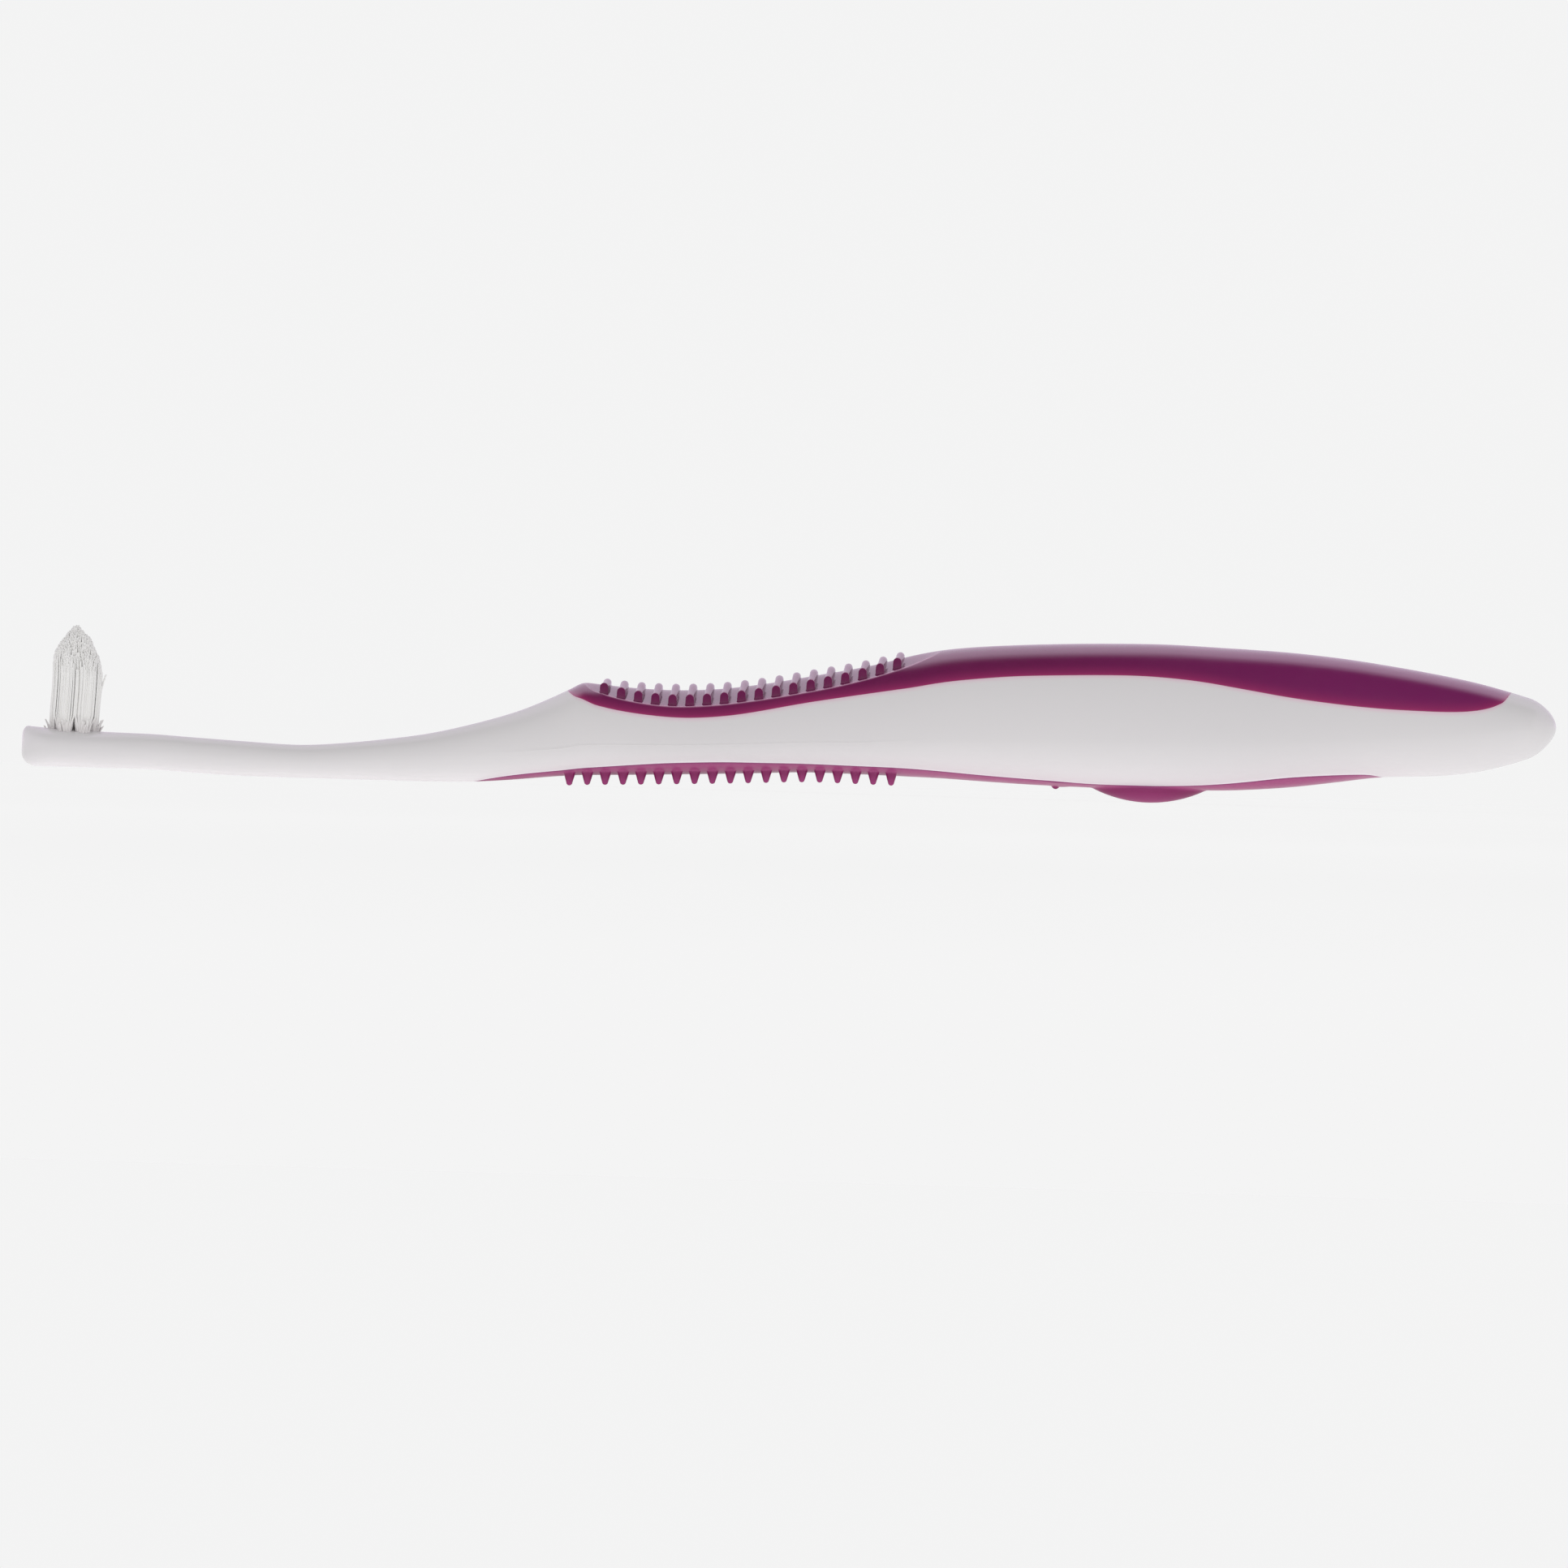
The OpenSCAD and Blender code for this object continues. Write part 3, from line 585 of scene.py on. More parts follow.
class Half:
    """Columns of one half of a section, from its middle outwards, each as X, Y and Z along the stations."""

    def __init__(self, x):
        self.x = x
        self.columns = []

    def add(self, point, x=None):
        self.columns.append(np.stack([self.x if x is None else x, point[0], point[1]], axis=-1))

    def sweep(self, start, end, shares, depth=None):
        """Columns at shares of the turn between two angles, on the section or on the floor of a recess."""
        for share in shares:
            self.add(section(self.x, start + (end - start) * share, depth))

    def bend(self, start, corner, end):
        """Round off a corner between two points."""
        for t in np.linspace(0, 1, corner_steps + 1):
            weights = ((1 - t) ** 2, 2 * t * (1 - t), t * t)
            self.add([sum(w * point[k] for w, point in zip(weights, (start, corner, end))) for k in (0, 1)])

    def rings(self):
        """Whole rings: stations, points of a ring, XYZ. The half starts and ends on the middle plane."""
        half = np.stack(self.columns, axis=1)
        half[:, [0, -1], 1] = 0
        whole = both_sides(half)
        whole[:, len(self.columns):, 1] *= -1
        return whole

    def nearness(self, edge, reach):
        """How near each point of the rings lies to an edge: 1 on it, fading over the reach."""
        away = [np.hypot(column[:, 1] - edge[0], column[:, 2] - edge[1]) for column in self.columns]
        return both_sides(np.exp(-(np.stack(away, axis=1) / reach) ** 2))


def finish_mesh(name, points, faces, marks=None, sharp=plain_sharp):
    """Mesh in metres from points in millimetres, with doubled points merged and its normals outward."""
    mesh = bpy.data.meshes.new(name)
    points = np.asarray(points, float).reshape(-1, 3) - [overall_l / 2, 0, 0]
    mesh.from_pydata((points * MM).tolist(), [], faces)
    for key, values in (marks or {}).items():
        layer = mesh.attributes.new(key, "FLOAT", "POINT")
        layer.data.foreach_set("value", np.asarray(values, np.float32).ravel())
    work = bmesh.new()
    work.from_mesh(mesh)
    bmesh.ops.remove_doubles(work, verts=work.verts, dist=doubled_gap * MM)
    bmesh.ops.dissolve_degenerate(work, edges=work.edges, dist=least_edge * MM)
    bmesh.ops.recalc_face_normals(work, faces=work.faces)
    work.to_mesh(mesh)
    work.free()
    mesh.shade_smooth()
    mesh.set_sharp_from_angle(angle=math.radians(sharp))
    made = bpy.data.objects.new(name, mesh)
    bpy.context.scene.collection.objects.link(made)
    return made


def loft_faces(stations, ring):
    """Quads of a tube of rings."""
    a = np.arange(stations - 1)[:, None] * ring + np.arange(ring)[None, :]
    b = np.arange(stations - 1)[:, None] * ring + (np.arange(ring)[None, :] + 1) % ring
    return np.stack([a, b, b + ring, a + ring], axis=-1).reshape(-1, 4).tolist()


def loft(name, rings, marks, sharp):
    """Closed skin over rings, the first and last of which shrink to a line or a point."""
    return finish_mesh(name, rings, loft_faces(rings.shape[0], rings.shape[1]), marks, sharp)


class Bundle:
    """Points and faces of many tubes with closed ends, gathered for one mesh."""

    def __init__(self):
        self.points = []
        self.faces = []

    def add(self, points, ring):
        """One tube, given as the points of its rings in order."""
        base = len(self.points)
        count = len(points)
        ends = [list(range(ring - 1, -1, -1)), list(range(count - ring, count))]
        self.faces += [[base + k for k in face] for face in loft_faces(count // ring, ring) + ends]
        self.points += points


def dress(piece, node, material):
    """Give a piece its material and body, and let it stand for its CAD node."""
    piece.data.materials.append(material)
    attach(piece, "root")
    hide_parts(node)


def tuft_place(i):
    """Middle of a tuft: the first is in the middle of the cluster, and the others lie round it."""
    if i == 0:
        return tuft_x, 0.0
    turn = 2 * math.pi * (i - 1) / ring_tufts
    return tuft_x + tuft_pitch * math.cos(turn), tuft_pitch * math.sin(turn)


tuft_places = [tuft_place(i) for i in range(ring_tufts + 1)]
face_z = float(top_z(tuft_x))
hole_floor_z = face_z - hole_depth
filament_foot_z = hole_floor_z + anchor_h


# White core

core_stations = merged(
    rounded(0, nose_fine_l, nose_steps), spread(nose_fine_l, head_fine_l, head_step),
    spread(head_fine_l, overall_l - tail_r, plain_step), rounded(overall_l, overall_l - tail_r, tail_steps),
    tips(grip_from, grip_to), tips(strip_from, strip_to), least=core_least)


def core_rings(x):
    """Rings of the core with the seats of both grips, and how near each point lies to their seams."""
    half = Half(x)
    upper, lower = grip_angle(x), strip_angle(x)
    on_wall, upper_edge, after = seam_corner(x, upper, grip_depth(x), core_seam_r, -1)
    half.sweep(90, upper, np.linspace(0, 1, grip_seat_columns), grip_depth(x))
    half.bend(on_wall, upper_edge, section(x, after))
    by_parting = angle_of(parting_w / np.maximum(top_z(x) - wide_z(x), FINE), square_power(x))
    half.sweep(after, by_parting, np.linspace(0, 1, core_side_columns)[1:])
    parting = parting_h * ease((x - strip_from) / parting_rise_l) * ease((pad_to - x) / parting_fall_l)
    side_y, side_z = section(x, np.zeros_like(x))
    half.add([side_y + parting, side_z])
    on_wall, lower_edge, before = seam_corner(x, lower, strip_depth(x), core_seam_r, 1)
    half.sweep(-by_parting, before, np.linspace(0, 1, core_side_columns)[:-1])
    half.bend(section(x, before), lower_edge, on_wall)
    half.sweep(lower, -90, np.linspace(0, 1, strip_seat_columns), strip_depth(x))
    # Nearness to the seams, for painted shade along the upper one and a painted highlight along the lower
    # one
    upper_seam_shade = half.nearness(upper_edge, upper_seam_shade_w) * within(x, grip_from, grip_to)[:, None]
    lower_seam_highlight = half.nearness(lower_edge, lower_seam_highlight_w) * within(x, strip_from, strip_to)[:, None]
    return half.rings(), {"upper_seam_shade": upper_seam_shade, "lower_seam_highlight": lower_seam_highlight}


def hole_cutter():
    """All seven tuft holes as one mesh of separate plugs."""
    plugs = Bundle()
    turns = np.linspace(0, 2 * math.pi, hole_sides, endpoint=False)
    for x, y in tuft_places:
        plugs.add([[x + plug_r * math.cos(a), y + plug_r * math.sin(a), z]
                   for z in (hole_floor_z, face_z + cutter_overrun) for a in turns], hole_sides)
    return finish_mesh("hole_cutter", plugs.points, plugs.faces)


def make_core():
    """Core with its seats, out of which the holes are cut."""
    rings, marks = core_rings(core_stations)
    core = loft("white_core", rings, marks, plain_sharp)
    cutter = hole_cutter()
    cut = core.modifiers.new("holes", "BOOLEAN")
    cut.operation = "DIFFERENCE"
    cut.solver = "EXACT"
    cut.object = cutter
    mesh = bpy.data.meshes.new_from_object(core.evaluated_get(bpy.context.evaluated_depsgraph_get()))
    core.modifiers.clear()
    core.data = mesh
    bpy.data.objects.remove(cutter)
    mesh.set_sharp_from_angle(angle=math.radians(plain_sharp))
    return core


# Upper grip with its thumb pad

rib_places = [pad_from + rib_lead + i * rib_pitch for i in range(rib_count)]


def rib_stations():
    """Stations over the ribs: place, the rib's middle, drop below its crest, and share of its height."""
    rows = []
    r = rib_w / 2
    foot_out, foot_up = rib_foot_point
    foot = [(r + rib_foot_r, 0), (r + foot_out * rib_foot_r, foot_up)]
    gap = rib_pitch - rib_w - 2 * rib_foot_r
    for middle in rib_places:
        if rows:
            end, before = rows[-1][:2]
            rows += [[end + gap * share, before, r, 0] for share in (1 / 3, 2 / 3)]
        rows += [[middle - away, middle, r, up] for away, up in foot]
        for a in np.linspace(0, math.pi, rib_points):
            rows.append([middle - r * math.cos(a), middle, r * (1 - math.sin(a)), 1])
        rows += [[middle + away, middle, r, up] for away, up in reversed(foot)]
    return rows


def grip_stations():
    """Stations along the whole upper grip, as four rows with the values that rib_stations gives."""
    ribs = rib_stations()
    first, last = ribs[0][0], ribs[-1][0]
    plain = merged(
        tips(grip_from, grip_to), spread(grip_from + tip_l, first, pad_step),
        rounded(pad_from, first, pad_start_steps), spread(last, pad_to, pad_step),
        rounded(pad_to, last, pad_end_steps), spread(pad_to, grip_to - tip_l, plain_step), least=grip_least)
    plain = plain[(plain < first - grip_least) | (plain > last + grip_least)]
    rows = ribs + [[x, x, 0, 0] for x in plain]
    rows.sort(key=lambda row: row[0])
    return np.array(rows).T


def rib_reach(x):
    """How far the ribs reach from the middle plane, each equally far over its whole width."""
    own = np.maximum(pad_half(x) - rib_margin, pad_half(x) / 2)
    knots = [middle + side * rib_w / 2 for middle in rib_places for side in (-1, 1)]
    reaches = np.repeat(pad_half(np.array(rib_places)) - rib_margin, 2)
    return np.where((x >= knots[0]) & (x <= knots[-1]), np.interp(x, knots, reaches), own)


def grip_rings():
    """Rings of the upper grip, and how near each point lies to its rim and to the pad's and ribs' edges."""
    x, middle, drop, raised = grip_stations()
    half = Half(x)
    wide = pad_half(x)
    reach = rib_reach(x)
    fade = ease((x - pad_from) / pad_fade_l) * ease((pad_to - x) / pad_fade_l)
    crease = crease_angle(x)
    pad = on_pad(x)
    crisp = np.minimum(crisp_r, wide / 4)

    # Columns over the pad: distance from the middle, share of the rib's reach, and lift onto the rib
    end_share = rib_edge_r / rib_half_l
    columns = [(share * reach, share, 1) for share in np.linspace(0, 1, rib_columns) * (1 - end_share)]
    for t in np.linspace(0, math.pi / 2, rib_end_columns + 1)[1:]:
        share = 1 - end_share + end_share * math.sin(t)
        columns.append((share * reach, share, 1 - rib_edge_r / rib_end_h * (1 - math.cos(t))))
    columns += [(reach + (wide - crisp - reach) * share, 1 - share, 0) for share in margin_shares]
    for order, (y, outward, lift) in enumerate(columns):
        bow = rib_bow * fade * outward ** 2
        ground = pad_z(x - bow, y)
        crest = pad_z(middle - bow, y) + rib_h + (rib_end_h - rib_h) * outward ** 2 - drop
        z = ground + (crest - ground) * raised * lift
        off_y, off_z = section(x, 90 - (90 - crease) * order / (len(columns) + 1))
        half.add([np.where(pad, y, off_y), np.where(pad, z, off_z)], np.where(pad, x - bow, x))

    corner = section(x, crease)
    off_r = np.minimum(crisp_r, (90 - crease) / 90 * quarter_l)
    off_y, off_z = section(x, np.minimum(crease + angle_step(x, crease, off_r, 1), 90))
    before = [np.where(pad, wide - crisp, off_y), np.where(pad, pad_z(x, wide - crisp), off_z)]
    edge_angle = grip_angle(x)
    after = np.maximum(crease + angle_step(x, crease, np.where(pad, crisp, off_r), -1), edge_angle)
    half.bend(before, corner, section(x, after))
    on_wall, edge, last = seam_corner(x, edge_angle, grip_depth(x), seam_r, 1)
    last = np.minimum(last, after)
    half.sweep(after, last, np.sin(np.linspace(0, math.pi / 2, grip_side_columns))[1:-1])
    half.bend(section(x, last), edge, on_wall)
    half.sweep(90, edge_angle, np.linspace(1, 0, grip_floor_columns), grip_depth(x))
    # The painted highlight on the ribs' ends lies on the first two columns of their rounded ends
    rib_end_highlight = np.zeros((len(x), len(half.columns)))
    rib_end_highlight[:, rib_columns:rib_columns + 2] = rib_end_highlight_share * raised[:, None]
    # Painted highlight along the pad's crisp edge
    edge_highlight = half.nearness(corner, edge_highlight_w) * (fade * pad)[:, None]
    return half.rings(), {"rim": half.nearness(edge, rim_w), "thin": half.nearness(edge, thin_w),
                          "edge_highlight": np.maximum(edge_highlight, both_sides(rib_end_highlight))}


def make_upper_grip():
    rings, marks = grip_rings()
    return loft("purple_grip", rings, marks, grip_sharp)


# Lower grip with its fins, lens and gate mark

fin_places = [strip_from + fin_lead + i * fin_pitch for i in range(fin_count)]
# Stations on each side of a fin, as distances from its middle plane
fin_offsets = [0, 0.1, 0.18, 0.25, 0.3, 0.35, 0.4, 0.45, 0.5, 0.56, 0.62, 0.7, 0.8]


def strip_stations():
    fins = [x + side * offset for x in fin_places for offset in fin_offsets for side in (-1, 1)]
    lens_half = lens_l / 2 + lens_margin
    return merged(
        tips(strip_from, strip_to), spread(strip_from + tip_l, strip_to - tip_l, plain_step), np.array(fins),
        spread(lens_x - lens_half, lens_x + lens_half, lens_step),
        spread(gate_x - gate_fine_l, gate_x + gate_fine_l, gate_step), least=strip_least)


def smooth_least(a, b, k):
    """Lesser of two heights, with a fillet between them."""
    h = np.clip(0.5 + 0.5 * (b - a) / k, 0, 1)
    return b * (1 - h) + a * h - k * h * (1 - h)


def fin_depth(d):
    """How far a fin stands down at a distance from its middle plane."""
    r = fin_tip_w / 2
    tangent = fin_round_share * r
    at_tangent = fin_h - r + math.sqrt(r * r - tangent * tangent)
    slope = at_tangent / (fin_root_w / 2 - tangent)
    round_part = fin_h - r + np.sqrt(np.maximum(r * r - d * d, 0))
    return np.where(d < tangent, round_part, at_tangent - slope * (d - tangent))


def fin_reach(x):
    """How far a fin reaches from the middle plane."""
    n = square_power(x)
    share = fin_rise_share * strip_t / (wide_z(x) - under_z(x))
    return np.minimum(fin_span / 2, half_w(x) * (1 - (1 - share) ** n) ** (1 / n))


def dome_depth(distance, d, h):
    """How far a cap of a sphere stands down, and less than zero outside its rim."""
    dome_r = (d * d / 4 + h * h) / (2 * h)
    cap = np.sqrt(np.maximum(dome_r ** 2 - distance ** 2, 0)) - (dome_r - h)
    return np.where(distance < d / 2, cap, (d / 2 - distance) * d / 2 / (dome_r - h))


# Domes under the lower grip: place, shift to the rear, length, width, height and fillet
domes = [
    (lens_x, 0, lens_l, lens_w, lens_h, lens_fillet),
    (gate_x, 0, gate_d, gate_d, gate_h, gate_fillet),
    (gate_x, gate_pad_shift, gate_pad_d, gate_pad_d, gate_pad_h, gate_fillet),
]


def strip_outer_z(x, y):
    """Height of the lower grip's outer face with what stands down from it, and without."""
    plain = wide_z(x) - (wide_z(x) - under_z(x)) * fullness(x, y)
    nearest = np.array(fin_places)[np.argmin(np.abs(x[:, None] - np.array(fin_places)[None, :]), axis=1)]
    flat = fin_reach(nearest) - fin_root_w / 2
    distance = np.hypot(x - nearest, np.maximum(y - flat, 0))
    z = smooth_least(plain, under_z(nearest) - fin_depth(distance), fin_fillet)
    for place, shift, long, wide, tall, fillet in domes:
        distance = np.hypot(x - place - shift, y * long / wide)
        z = smooth_least(z, under_z(place) - dome_depth(distance, long, tall), fillet)
    return np.minimum(z, plain), plain


def strip_rings():
    """Rings of the lower grip, how far each point stands down, and how near it lies to the rim."""
    x = strip_stations()
    half = Half(x)
    lower = strip_angle(x)
    on_wall, edge, last = seam_corner(x, lower, strip_depth(x), seam_r, -1)
    last = np.maximum(last, -90)
    last_y = section(x, last)[0]
    proud = []
    for share in np.linspace(0, 1, strip_columns, endpoint=False):
        z, plain = strip_outer_z(x, last_y * share)
        half.add([last_y * share, z])
        proud.append(plain - z)
    half.bend(section(x, last), edge, on_wall)
    half.sweep(lower, -90, np.linspace(0, 1, strip_seat_columns), strip_depth(x))
    raised = np.zeros((len(x), len(half.columns)))
    raised[:, :strip_columns] = np.stack(proud, axis=1)
    return half.rings(), {"raised": both_sides(raised), "rim": half.nearness(edge, rim_w)}


def make_lower_grip():
    rings, marks = strip_rings()
    return loft("pink_grip", rings, marks, strip_sharp)


# Bristles

golden_turn = math.pi * (3 - math.sqrt(5))


def strand(points):
    """Rings of a filament along points, with its upper end rounded."""
    points = np.array(points)
    end, before = points[-1], points[-2]
    way = (end - before) / np.linalg.norm(end - before)
    path = list(points[:-1]) + [end - way * filament_r * back for back, _ in filament_tip]
    radii = [filament_r] * (len(points) - 1) + [filament_r * share for _, share in filament_tip]
    turns = np.linspace(0, 2 * math.pi, filament_sides, endpoint=False)
    return [[p[0] + r * math.cos(a), p[1] + r * math.sin(a), p[2]]
            for p, r in zip(path, radii) for a in turns]


def trim_height(x, y):
    """Height over the head at which the bristle that ends there is trimmed."""
    away = math.hypot(x, y)
    at = np.array([min(away / cluster_r, 1)])
    rear = 0.5 + 0.5 * x / max(away, TINY)
    share = (1 - rear) * hermite(trim_nose_shares, 1, at)[0] + rear * hermite(trim_neck_shares, 1, at)[0]
    return tuft_h * share


def cell_reach(centre, angle):
    """How far a tuft's share of the cluster reaches from the tuft's middle, in the direction of an angle."""
    way = np.array([math.cos(angle), math.sin(angle)])
    inward = centre @ way
    far = -inward + math.sqrt(inward ** 2 - centre @ centre + cluster_top_r ** 2)
    for place in tuft_places:
        gap = np.array(place) - [tuft_x, 0] - centre
        if gap @ way > TINY:
            far = min(far, gap @ gap / 2 / (gap @ way))
    return far - cell_gap


def tuft_lean_at(out):
    """How far the whole cluster leans towards the neck at a height over the face."""
    back = ease((out - tuft_lean_h) / (tuft_h - tuft_lean_h))
    return tuft_lean * float(ease(out / tuft_lean_h) - lean_back_share * back)


def grown(h, count, place_at):
    """Path of a filament that ends at a height over the face. Its place from the cluster's middle comes from
    a function of the share of its length and of the height over the face."""
    path = []
    for t in np.linspace(0, 1, count):
        z = filament_foot_z + (face_z + h - filament_foot_z) * t
        x, y = place_at(t, max(z - face_z, 0))
        path.append([tuft_x + x, y, z])
    return path


def long_filaments(i, centre, dice):
    """Paths that leave the hole in a spiral array and fill the tuft's share of the cluster."""
    for k in range(filament_count):
        share = math.sqrt((k + 0.5) / filament_count)
        angle = k * golden_turn + i
        way = np.array([math.cos(angle), math.sin(angle)])
        root = centre + way * root_reach * share
        over = centre + way * cell_reach(centre, angle) * share
        h = trim_height(*over) - abs(dice.gauss(0, filament_uneven))
        wander = np.array([dice.gauss(0, 1), dice.gauss(0, 1)]) * filament_wander
        yield grown(h, filament_points, lambda t, out: (
            root + (over - root) * float(ease(out / tuft_mix_h)) + wander * (out / tuft_h) ** 2
            + [tuft_lean_at(out), 0]))


def short_filaments(centre, dice):
    """Paths that fan out low round the outer side of a tuft."""
    outward = centre / np.linalg.norm(centre)
    across = np.array([-outward[1], outward[0]])
    for k in range(short_count):
        turn = math.radians(short_fan) * (2 * (k + dice.random()) / short_count - 1)
        root = centre + root_reach * (outward * math.cos(turn) + across * math.sin(turn))
        h = short_h * (short_least + (1 - short_least) * dice.random())
        lean = short_lean_least + (1 - short_lean_least) * dice.random() ** short_lean_power
        tilt = outward * short_lean * lean * math.cos(turn)
        yield grown(h, short_points, lambda t, out: (
            root + tilt * (max(t - short_bend_from, 0) / (1 - short_bend_from)) ** short_bend_power))


def stray_filament(centre):
    """Path of the one filament that bends away towards the neck."""
    return grown(stray_h, stray_points, lambda t, out: (
        centre + [root_reach + stray_lean * (out / stray_h) ** stray_bend_power, 0]))


def make_tuft(i, dice):
    """One tuft, which is trimmed together with the others. The first is the one in the middle."""
    centre = np.array(tuft_places[i]) - [tuft_x, 0]
    tuft = Bundle()
    for path in long_filaments(i, centre, dice):
        tuft.add(strand(path), filament_sides)
    if i > 0:
        for path in short_filaments(centre, dice):
            tuft.add(strand(path), filament_sides)
    if i == stray_tuft:
        tuft.add(strand(stray_filament(centre)), filament_sides)
    return finish_mesh("bristles_%d" % (i + 1), tuft.points, tuft.faces)


# Materials

# Range that holds most of a noise with some detail
COMMON = (0.3, 0.7)


def linear(c):
    """Linear value of a written one, from 0 to 255."""
    return ((c / 255 + 0.055) / 1.055) ** 2.4 if c > 10 else c / 255 / 12.92


def srgb(r, g, b):
    return linear(r), linear(g), linear(b), 1.0


class Nodes:
    """Node tree of a material or a world, with short calls for the nodes that it uses."""

    def __init__(self, owner):
        self.owner = owner
        owner.use_nodes = True
        self.tree = owner.node_tree
        self.tree.nodes.clear()

    def add(self, kind, inputs=(), **settings):
        made = self.tree.nodes.new(kind)
        for key, value in settings.items():
            setattr(made, key, value)
        for key, value in dict(inputs).items():
            if isinstance(value, bpy.types.NodeSocket):
                self.tree.links.new(value, made.inputs[key])
            else:
                made.inputs[key].default_value = value
        return made

    def place(self):
        return self.add("ShaderNodeTexCoord").outputs["Object"]

    def axis(self, name):
        return self.add("ShaderNodeSeparateXYZ", {0: self.place()}).outputs[name]

    def noise(self, scale, detail=3.0, vector=None):
        """Noise with a scale in waves a metre."""
        made = self.add("ShaderNodeTexNoise", {"Scale": scale, "Detail": detail,
                                               "Vector": self.place() if vector is None else vector})
        return made.outputs["Fac"]

    def stretched(self, x, y, z):
        """Place with its own number of waves a metre along each axis."""
        made = self.add("ShaderNodeMapping", {"Vector": self.place(), "Scale": (x, y, z)})
        return made.outputs["Vector"]

    def map(self, value, low, high, to_low, to_high):
        made = self.add("ShaderNodeMapRange", {"Value": value, "From Min": low, "From Max": high,
                                               "To Min": to_low, "To Max": to_high})
        return made.outputs["Result"]

    def math(self, operation, first, second):
        return self.add("ShaderNodeMath", {0: first, 1: second}, operation=operation).outputs[0]

    def choose(self, factor, first, second):
        """Number between two numbers."""
        return self.add("ShaderNodeMix", {0: factor, 2: first, 3: second}, data_type="FLOAT").outputs[0]

    def mix(self, factor, first, second):
        """Colour between two colours."""
        return self.add("ShaderNodeMix", {0: factor, 6: first, 7: second}, data_type="RGBA").outputs[2]

    def tinted(self, colour, mark, most, tint, low=0, high=1):
        """Colour with a share of a tint that grows with one of the mesh's marks."""
        value = self.add("ShaderNodeAttribute", attribute_name=mark).outputs["Fac"]
        return self.mix(self.map(value, low, high, 0, most), colour, tint)

    def bump(self, height, strength, depth):
        """Normal of a bumpy surface, with the bumps' depth in millimetres."""
        made = self.add("ShaderNodeBump", {"Height": height, "Strength": strength, "Distance": depth * MM})
        return made.outputs["Normal"]

    def surface(self, inputs):
        """Finish a material with one shader, and return it."""
        return self.finish(self.add("ShaderNodeBsdfPrincipled", inputs).outputs[0])

    def finish(self, shader):
        self.add("ShaderNodeOutputMaterial", {"Surface": shader})
        return self.owner


def new_material(name):
    return Nodes(bpy.data.materials.new(name))


def white_plastic():
    """Glossy white plastic with a faint unevenness, with painted shade tinted pink by the purple grip along
    the upper seam and a painted highlight along the lower seam.
    """
    s = new_material("white_plastic")
    colour = s.mix(s.noise(30, 0), srgb(234, 231, 232), srgb(228, 225, 227))
    # Painted shade beside the purple grip, tinted pink as if by its reflected colour
    colour = s.tinted(colour, "upper_seam_shade", 0.75, srgb(236, 196, 216))
    # Painted highlight on the core's edge beside the pink grip
    colour = s.tinted(colour, "lower_seam_highlight", 0.8, srgb(249, 246, 251))
    return s.surface({
        "Base Color": colour, "Roughness": s.map(s.noise(45, 0), 0, 1, 0.23, 0.27), "IOR": 1.47,
        "Specular IOR Level": 0.45, "Normal": s.bump(s.noise(60, 0), 0.15, 0.02)})


def upper_rubber():
    """Glossy purple rubber: paler towards the tail and at its thin edges, with a painted highlight on the
    pad's crisp edge and on the ribs' ends.
    """
    s = new_material("upper_rubber")
    colour = s.mix(s.map(s.noise(2200, 2), *COMMON, 0, 1), srgb(114, 11, 80), srgb(110, 10, 77))
    to_tail = s.map(s.axis("X"), tail_tint_from * MM, tail_tint_to * MM, 0, 1)
    colour = s.mix(to_tail, colour, srgb(124, 20, 94))
    colour = s.tinted(colour, "thin", 0.75, srgb(158, 38, 102))
    colour = s.tinted(colour, "rim", 0.5, srgb(178, 52, 112))
    # Painted highlight on the pad's crisp edge and the ribs' ends
    colour = s.tinted(colour, "edge_highlight", 0.8, srgb(214, 160, 192))
    return s.surface({
        "Base Color": colour, "Roughness": s.map(s.noise(600), *COMMON, 0.19, 0.26), "IOR": 1.55,
        "Normal": s.bump(s.noise(1500), 0.03, 0.05), "Coat Weight": 0.5, "Coat Roughness": 0.2,
        "Coat IOR": 1.6})


def lower_rubber():
    """Satin pink rubber with painted shade deepening the flanks of what stands down and painted floor light
    making its crests pinker, and dark at its rim.
    """
    s = new_material("lower_rubber")
    colour = s.mix(s.map(s.noise(2200, 2), *COMMON, 0, 1), srgb(172, 76, 131), srgb(164, 70, 125))
    # Painted shade on the flanks, then painted light from the floor on the crests
    colour = s.tinted(colour, "raised", 1, srgb(136, 31, 96), *painted_shade_depths)
    colour = s.tinted(colour, "raised", 0.7, srgb(178, 72, 138), *painted_light_depths)
    colour = s.tinted(colour, "rim", 0.7, srgb(128, 52, 108))
    return s.surface({
        "Base Color": colour, "Roughness": s.map(s.noise(600), *COMMON, 0.28, 0.34), "IOR": 1.5,
        "Specular IOR Level": 0.4, "Normal": s.bump(s.noise(1500), 0.04, 0.05)})


def bristle_nylon():
    """White nylon, streaked along the filaments, with painted shade that darkens their foot."""
    s = new_material("bristles")
    streak = s.noise(1.0, 2, s.stretched(2600, 2600, 120))
    colour = s.mix(s.map(streak, 0.35, 0.65, 0, 1), srgb(253, 252, 251), srgb(250, 249, 247))
    # Painted shade at the filaments' foot, where the tuft shades the head
    painted_foot_shade = s.map(s.axis("Z"), face_z * MM, (face_z + foot_shade_h) * MM, foot_shade, 0)
    return s.surface({
        "Base Color": s.mix(painted_foot_shade, colour, srgb(222, 216, 217)), "IOR": 1.53,
        "Roughness": s.map(s.noise(1500), *COMMON, 0.36, 0.48), "Normal": s.bump(streak, 0.05, 0.03)})


